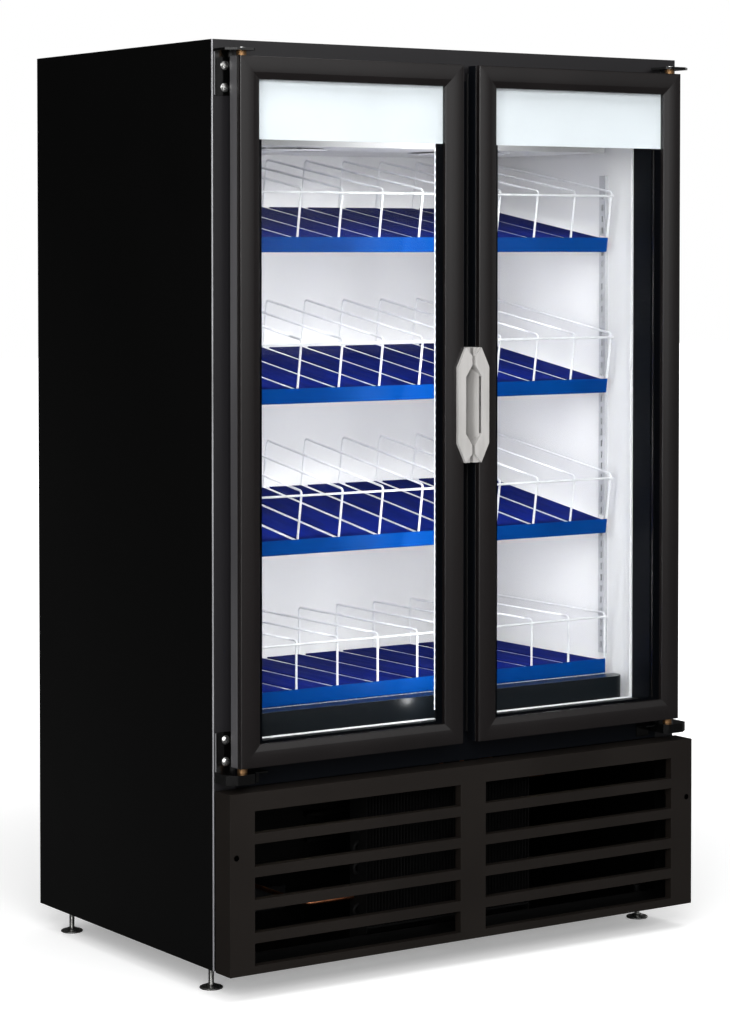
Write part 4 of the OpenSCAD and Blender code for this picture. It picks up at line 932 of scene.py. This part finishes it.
def mat(middle):
    """Upper height = T - H * (1 - |cos(pi x / rib)| ** 0.7); the rear end runs out in triangular teeth."""
    half = (LANE_PITCH - MAT_GAP) / 2
    x = np.linspace(-half, half, 97)
    tooth = 1 - np.abs(2 * np.mod((x + half) / (2 * half) * TEETH, 1) - 1)
    rear = DECK_D - MAT_REAR + TOOTH_H * tooth
    share = np.array([0, 0.004, 0.5, 1])[:, None]
    along = MAT_FRONT + share * (rear - MAT_FRONT)
    rise = MAT_T - RIB_H * (1 - np.abs(np.cos(math.pi * x / RIB_PITCH)) ** 0.7)
    rise = np.where(share == 0, MAT_T - 2 * RIB_H, rise)
    x = x + 0 * share
    top = np.stack([middle + x, along, MAT_UNDER + rise], -1)
    bottom = np.stack([middle + x, along, MAT_UNDER + 0 * rise], -1)
    return slab(top, bottom)


lanes = join([mat(-LANE_HALF + (lane + 0.5) * LANE_PITCH) for lane in range(LANES)])
mats = join([(on_shelf(lanes[0], level), lanes[1]) for level in range(4)])
piece("ribbed_mats", "cabinet", "navy_mat", mats, ("shelf_glides",))

# %% [markdown]
# ## Wire ends below the lowest shelf
# The lowest deck rests on a finer grid whose wire ends show as a row of pale dots under the blue strip, with
# a front rod below them. Each end is a short tube, and the row is one end repeated at a fixed pitch.

# %% Wire ends
END_PITCH, END_R, END_L = LANE_PITCH / 8, 0.0013, 0.03
ROD_R = 0.0014
end_z, rod_z = SHELF_Z - END_R, SHELF_Z - 2 * END_R - ROD_R
forms = [tube([(x, SHELF_Y - 0.0015, end_z), (x, SHELF_Y + END_L, end_z)], END_R, (0, 0, 1), 8)
         for x in np.arange(-LANE_HALF + END_PITCH / 2, LANE_HALF, END_PITCH)]
forms += [tube([(-LANE_HALF, y, rod_z), (LANE_HALF, y, rod_z)], ROD_R, (0, 0, 1))
          for y in (SHELF_Y + 0.001, SHELF_Y + 0.026)]
piece("wire_ends", "cabinet", "white_wire", join(forms))

# %% [markdown]
# ## Liner lip
# Where the white liner meets the black collar, a rolled white lip runs round the opening with rounded
# corners. It is a tube carried round a rounded rectangle.

# %% Liner lip
OPENING_HALF, OPENING_LOW, OPENING_HIGH = 0.53, BASE_Z + 0.448, BASE_Z + 1.8
LIP_R, LIP_CORNER = 0.0028, 0.005
LIP_DROP = 0.0029     # the lower lip lies lower, half over the collar's rear edge
INSET = LIP_R + 0.0004
lip_x, lip_low, lip_high = OPENING_HALF - INSET, OPENING_LOW + INSET - LIP_DROP, OPENING_HIGH - INSET
corners = [(-lip_x, lip_low), (lip_x, lip_low), (lip_x, lip_high), (-lip_x, lip_high)]
ring = rounded(corners, [LIP_CORNER] * 4, 9)
lip_path = to_plane(ring, (0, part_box("liner")[0].y + LIP_R, 0), (1, 0, 0), (0, 0, 1))
piece("liner_lip", "cabinet", "white_liner", tube(lip_path, LIP_R, (0, 1, 0), closed=True))

# %% [markdown]
# ## Fan guards
# Wire guards keep fingers out of the evaporator's fans: rings inside each other, welded to four spokes under
# the cover. Each ring is a tube along a circle.

# %% Fan guards
GUARD_WIRE, SPOKE = 0.0011, 0.116
GUARD_RINGS = np.linspace(0.022, 0.104, 7)
guard_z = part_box("evaporator_cover")[0].z - 3.2 * GUARD_WIRE
spoke_z = guard_z + 2 * GUARD_WIRE
a = np.linspace(0, 2 * math.pi, 48, endpoint=False)
guards = []
for side in ("left", "right"):
    low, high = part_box(f"evaporator_fan_{side}")
    x, y = (low.x + high.x) / 2, (low.y + high.y) / 2
    for radius in GUARD_RINGS:
        circle = np.column_stack([x + radius * np.cos(a), y + radius * np.sin(a), np.full(48, guard_z)])
        guards.append(tube(circle, GUARD_WIRE, (0, 0, 1), 8, closed=True))
    for turn in (0.25 * math.pi, 0.75 * math.pi):
        dx, dy = SPOKE * math.cos(turn), SPOKE * math.sin(turn)
        ends = [(x - dx, y - dy, spoke_z), (x + dx, y + dy, spoke_z)]
        guards.append(tube(ends, GUARD_WIRE, (0, 0, 1), 8))
piece("fan_guards", "cabinet", "white_wire", join(guards))

# %% [markdown]
# ## Back panel
# The back is a flat sheet held by flush screws all round, like the rear grille below it. One screw is a
# lathe, and the rows are that screw at even steps.

# %% Rear screws
FLAT_HEAD = np.array([(0, -1), (4.4, -1), (4.4, 0.02), (1.3, 0.02), (1.3, -0.6), (0, -0.6)]) / 1000
EDGE_IN = 0.03        # from the sheet's edge to the screws
back_low, back_high = (corner.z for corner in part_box("back_panel"))
upper_rows = back_low + EDGE_IN, back_high - EDGE_IN
lower_rows = BASE_Z + EDGE_IN, back_low - EDGE_IN
places = [(sign * (HALF_W - 0.032), z) for rows, count in ((upper_rows, 7), (lower_rows, 3))
          for sign in (-1, 1) for z in np.linspace(*rows, count)]
places += [(x, z) for x in np.linspace(-0.38, 0.38, 4) for z in (*upper_rows, lower_rows[1])]
heads = [lathe(FLAT_HEAD, (x, BACK_Y, z), (0, 1, 0), 16) for x, z in places]
piece("rear_screws", "cabinet", "zinc_steel", join(heads))

# %% [markdown]
# ## Louvres
# The slots at the back are louvres: behind each one the sheet is pressed in as a hood, so air passes and
# nobody sees through. A hood is a quarter arc from the slot's upper edge down and inwards, drawn across the
# slot's width as a thin slab, and a thin cheek closes each of its ends.

# %% Louvres
LOUVRE_ROWS, LOUVRE_X, LOUVRE_W, LOUVRE_STEP = 9, 0.28, 0.36, 0.03
LOUVRE_Z = BASE_Z + 0.06 + 0.008      # upper edge of the lowest slot
HOOD_D, HOOD_H, HOOD_T = 0.011, 0.0115, 0.0006
a = np.linspace(0, math.pi / 2, 8)
hood = np.column_stack([BACK_Y - SKIN - HOOD_D * np.sin(a), 0.0005 - HOOD_H * (1 - np.cos(a))])
cheek = np.concatenate([hood, [(BACK_Y - SKIN, hood[-1, 1])]])


def across(outline, x, shift=0.0):
    """An outline in Y and Z at a place along X, moved inwards and up by shift."""
    return np.column_stack([np.full(len(outline), x), outline + (-shift, shift)])


hoods = []
for sign in (-1, 1):
    ends = sign * LOUVRE_X - LOUVRE_W / 2, sign * LOUVRE_X + LOUVRE_W / 2
    for row in range(LOUVRE_ROWS):
        lift = (0, LOUVRE_Z + row * LOUVRE_STEP)
        lower, upper = (np.stack([across(hood + lift, x, shift) for x in ends]) for shift in (0, HOOD_T))
        hoods.append(slab(lower, upper))
        for x in ends:
            hoods.append(loft(np.stack([across(cheek + lift, x + t) for t in (-HOOD_T / 2, HOOD_T / 2)])))
piece("rear_louvres", "cabinet", "black_panel", join(hoods))

# %% [markdown]
# ## Light inside the cabinet
# Real diode strips light the liner evenly through their milky lens, which narrow lamps alone don't do here.
# Each bay therefore also has a wide weak lamp behind the shelves' front strips, turned to the back. Neither
# the camera nor a reflection sees it.

# %% Lamps inside the cabinet
LAMP_WATTS, BAY_WATTS = 1.8, 3.2
BAY_X, BAY_W = 0.26, 0.42
BAY_LOW, BAY_HIGH = FLOOR_Z + 0.02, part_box("evaporator_cover")[0].z - 0.09
low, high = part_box("led_strips")
for side in (-1, 1):
    at = (side * (high.x - 0.004), high.y + 0.002, (low.z + high.z) / 2)
    aim = (at[0] + side * 0.12, at[1] + 0.3, at[2])
    area_lamp(f"diodes_{side}", at, aim, 0.008, high.z - low.z, LAMP_WATTS)
    at = (side * BAY_X, SHELF_Y + 0.03, (BAY_LOW + BAY_HIGH) / 2)
    bay = area_lamp(f"bay_{side}", at, (at[0], BACK_Y, at[2]), BAY_W, BAY_HIGH - BAY_LOW, BAY_WATTS)
    bay.visible_glossy = bay.visible_transmission = False
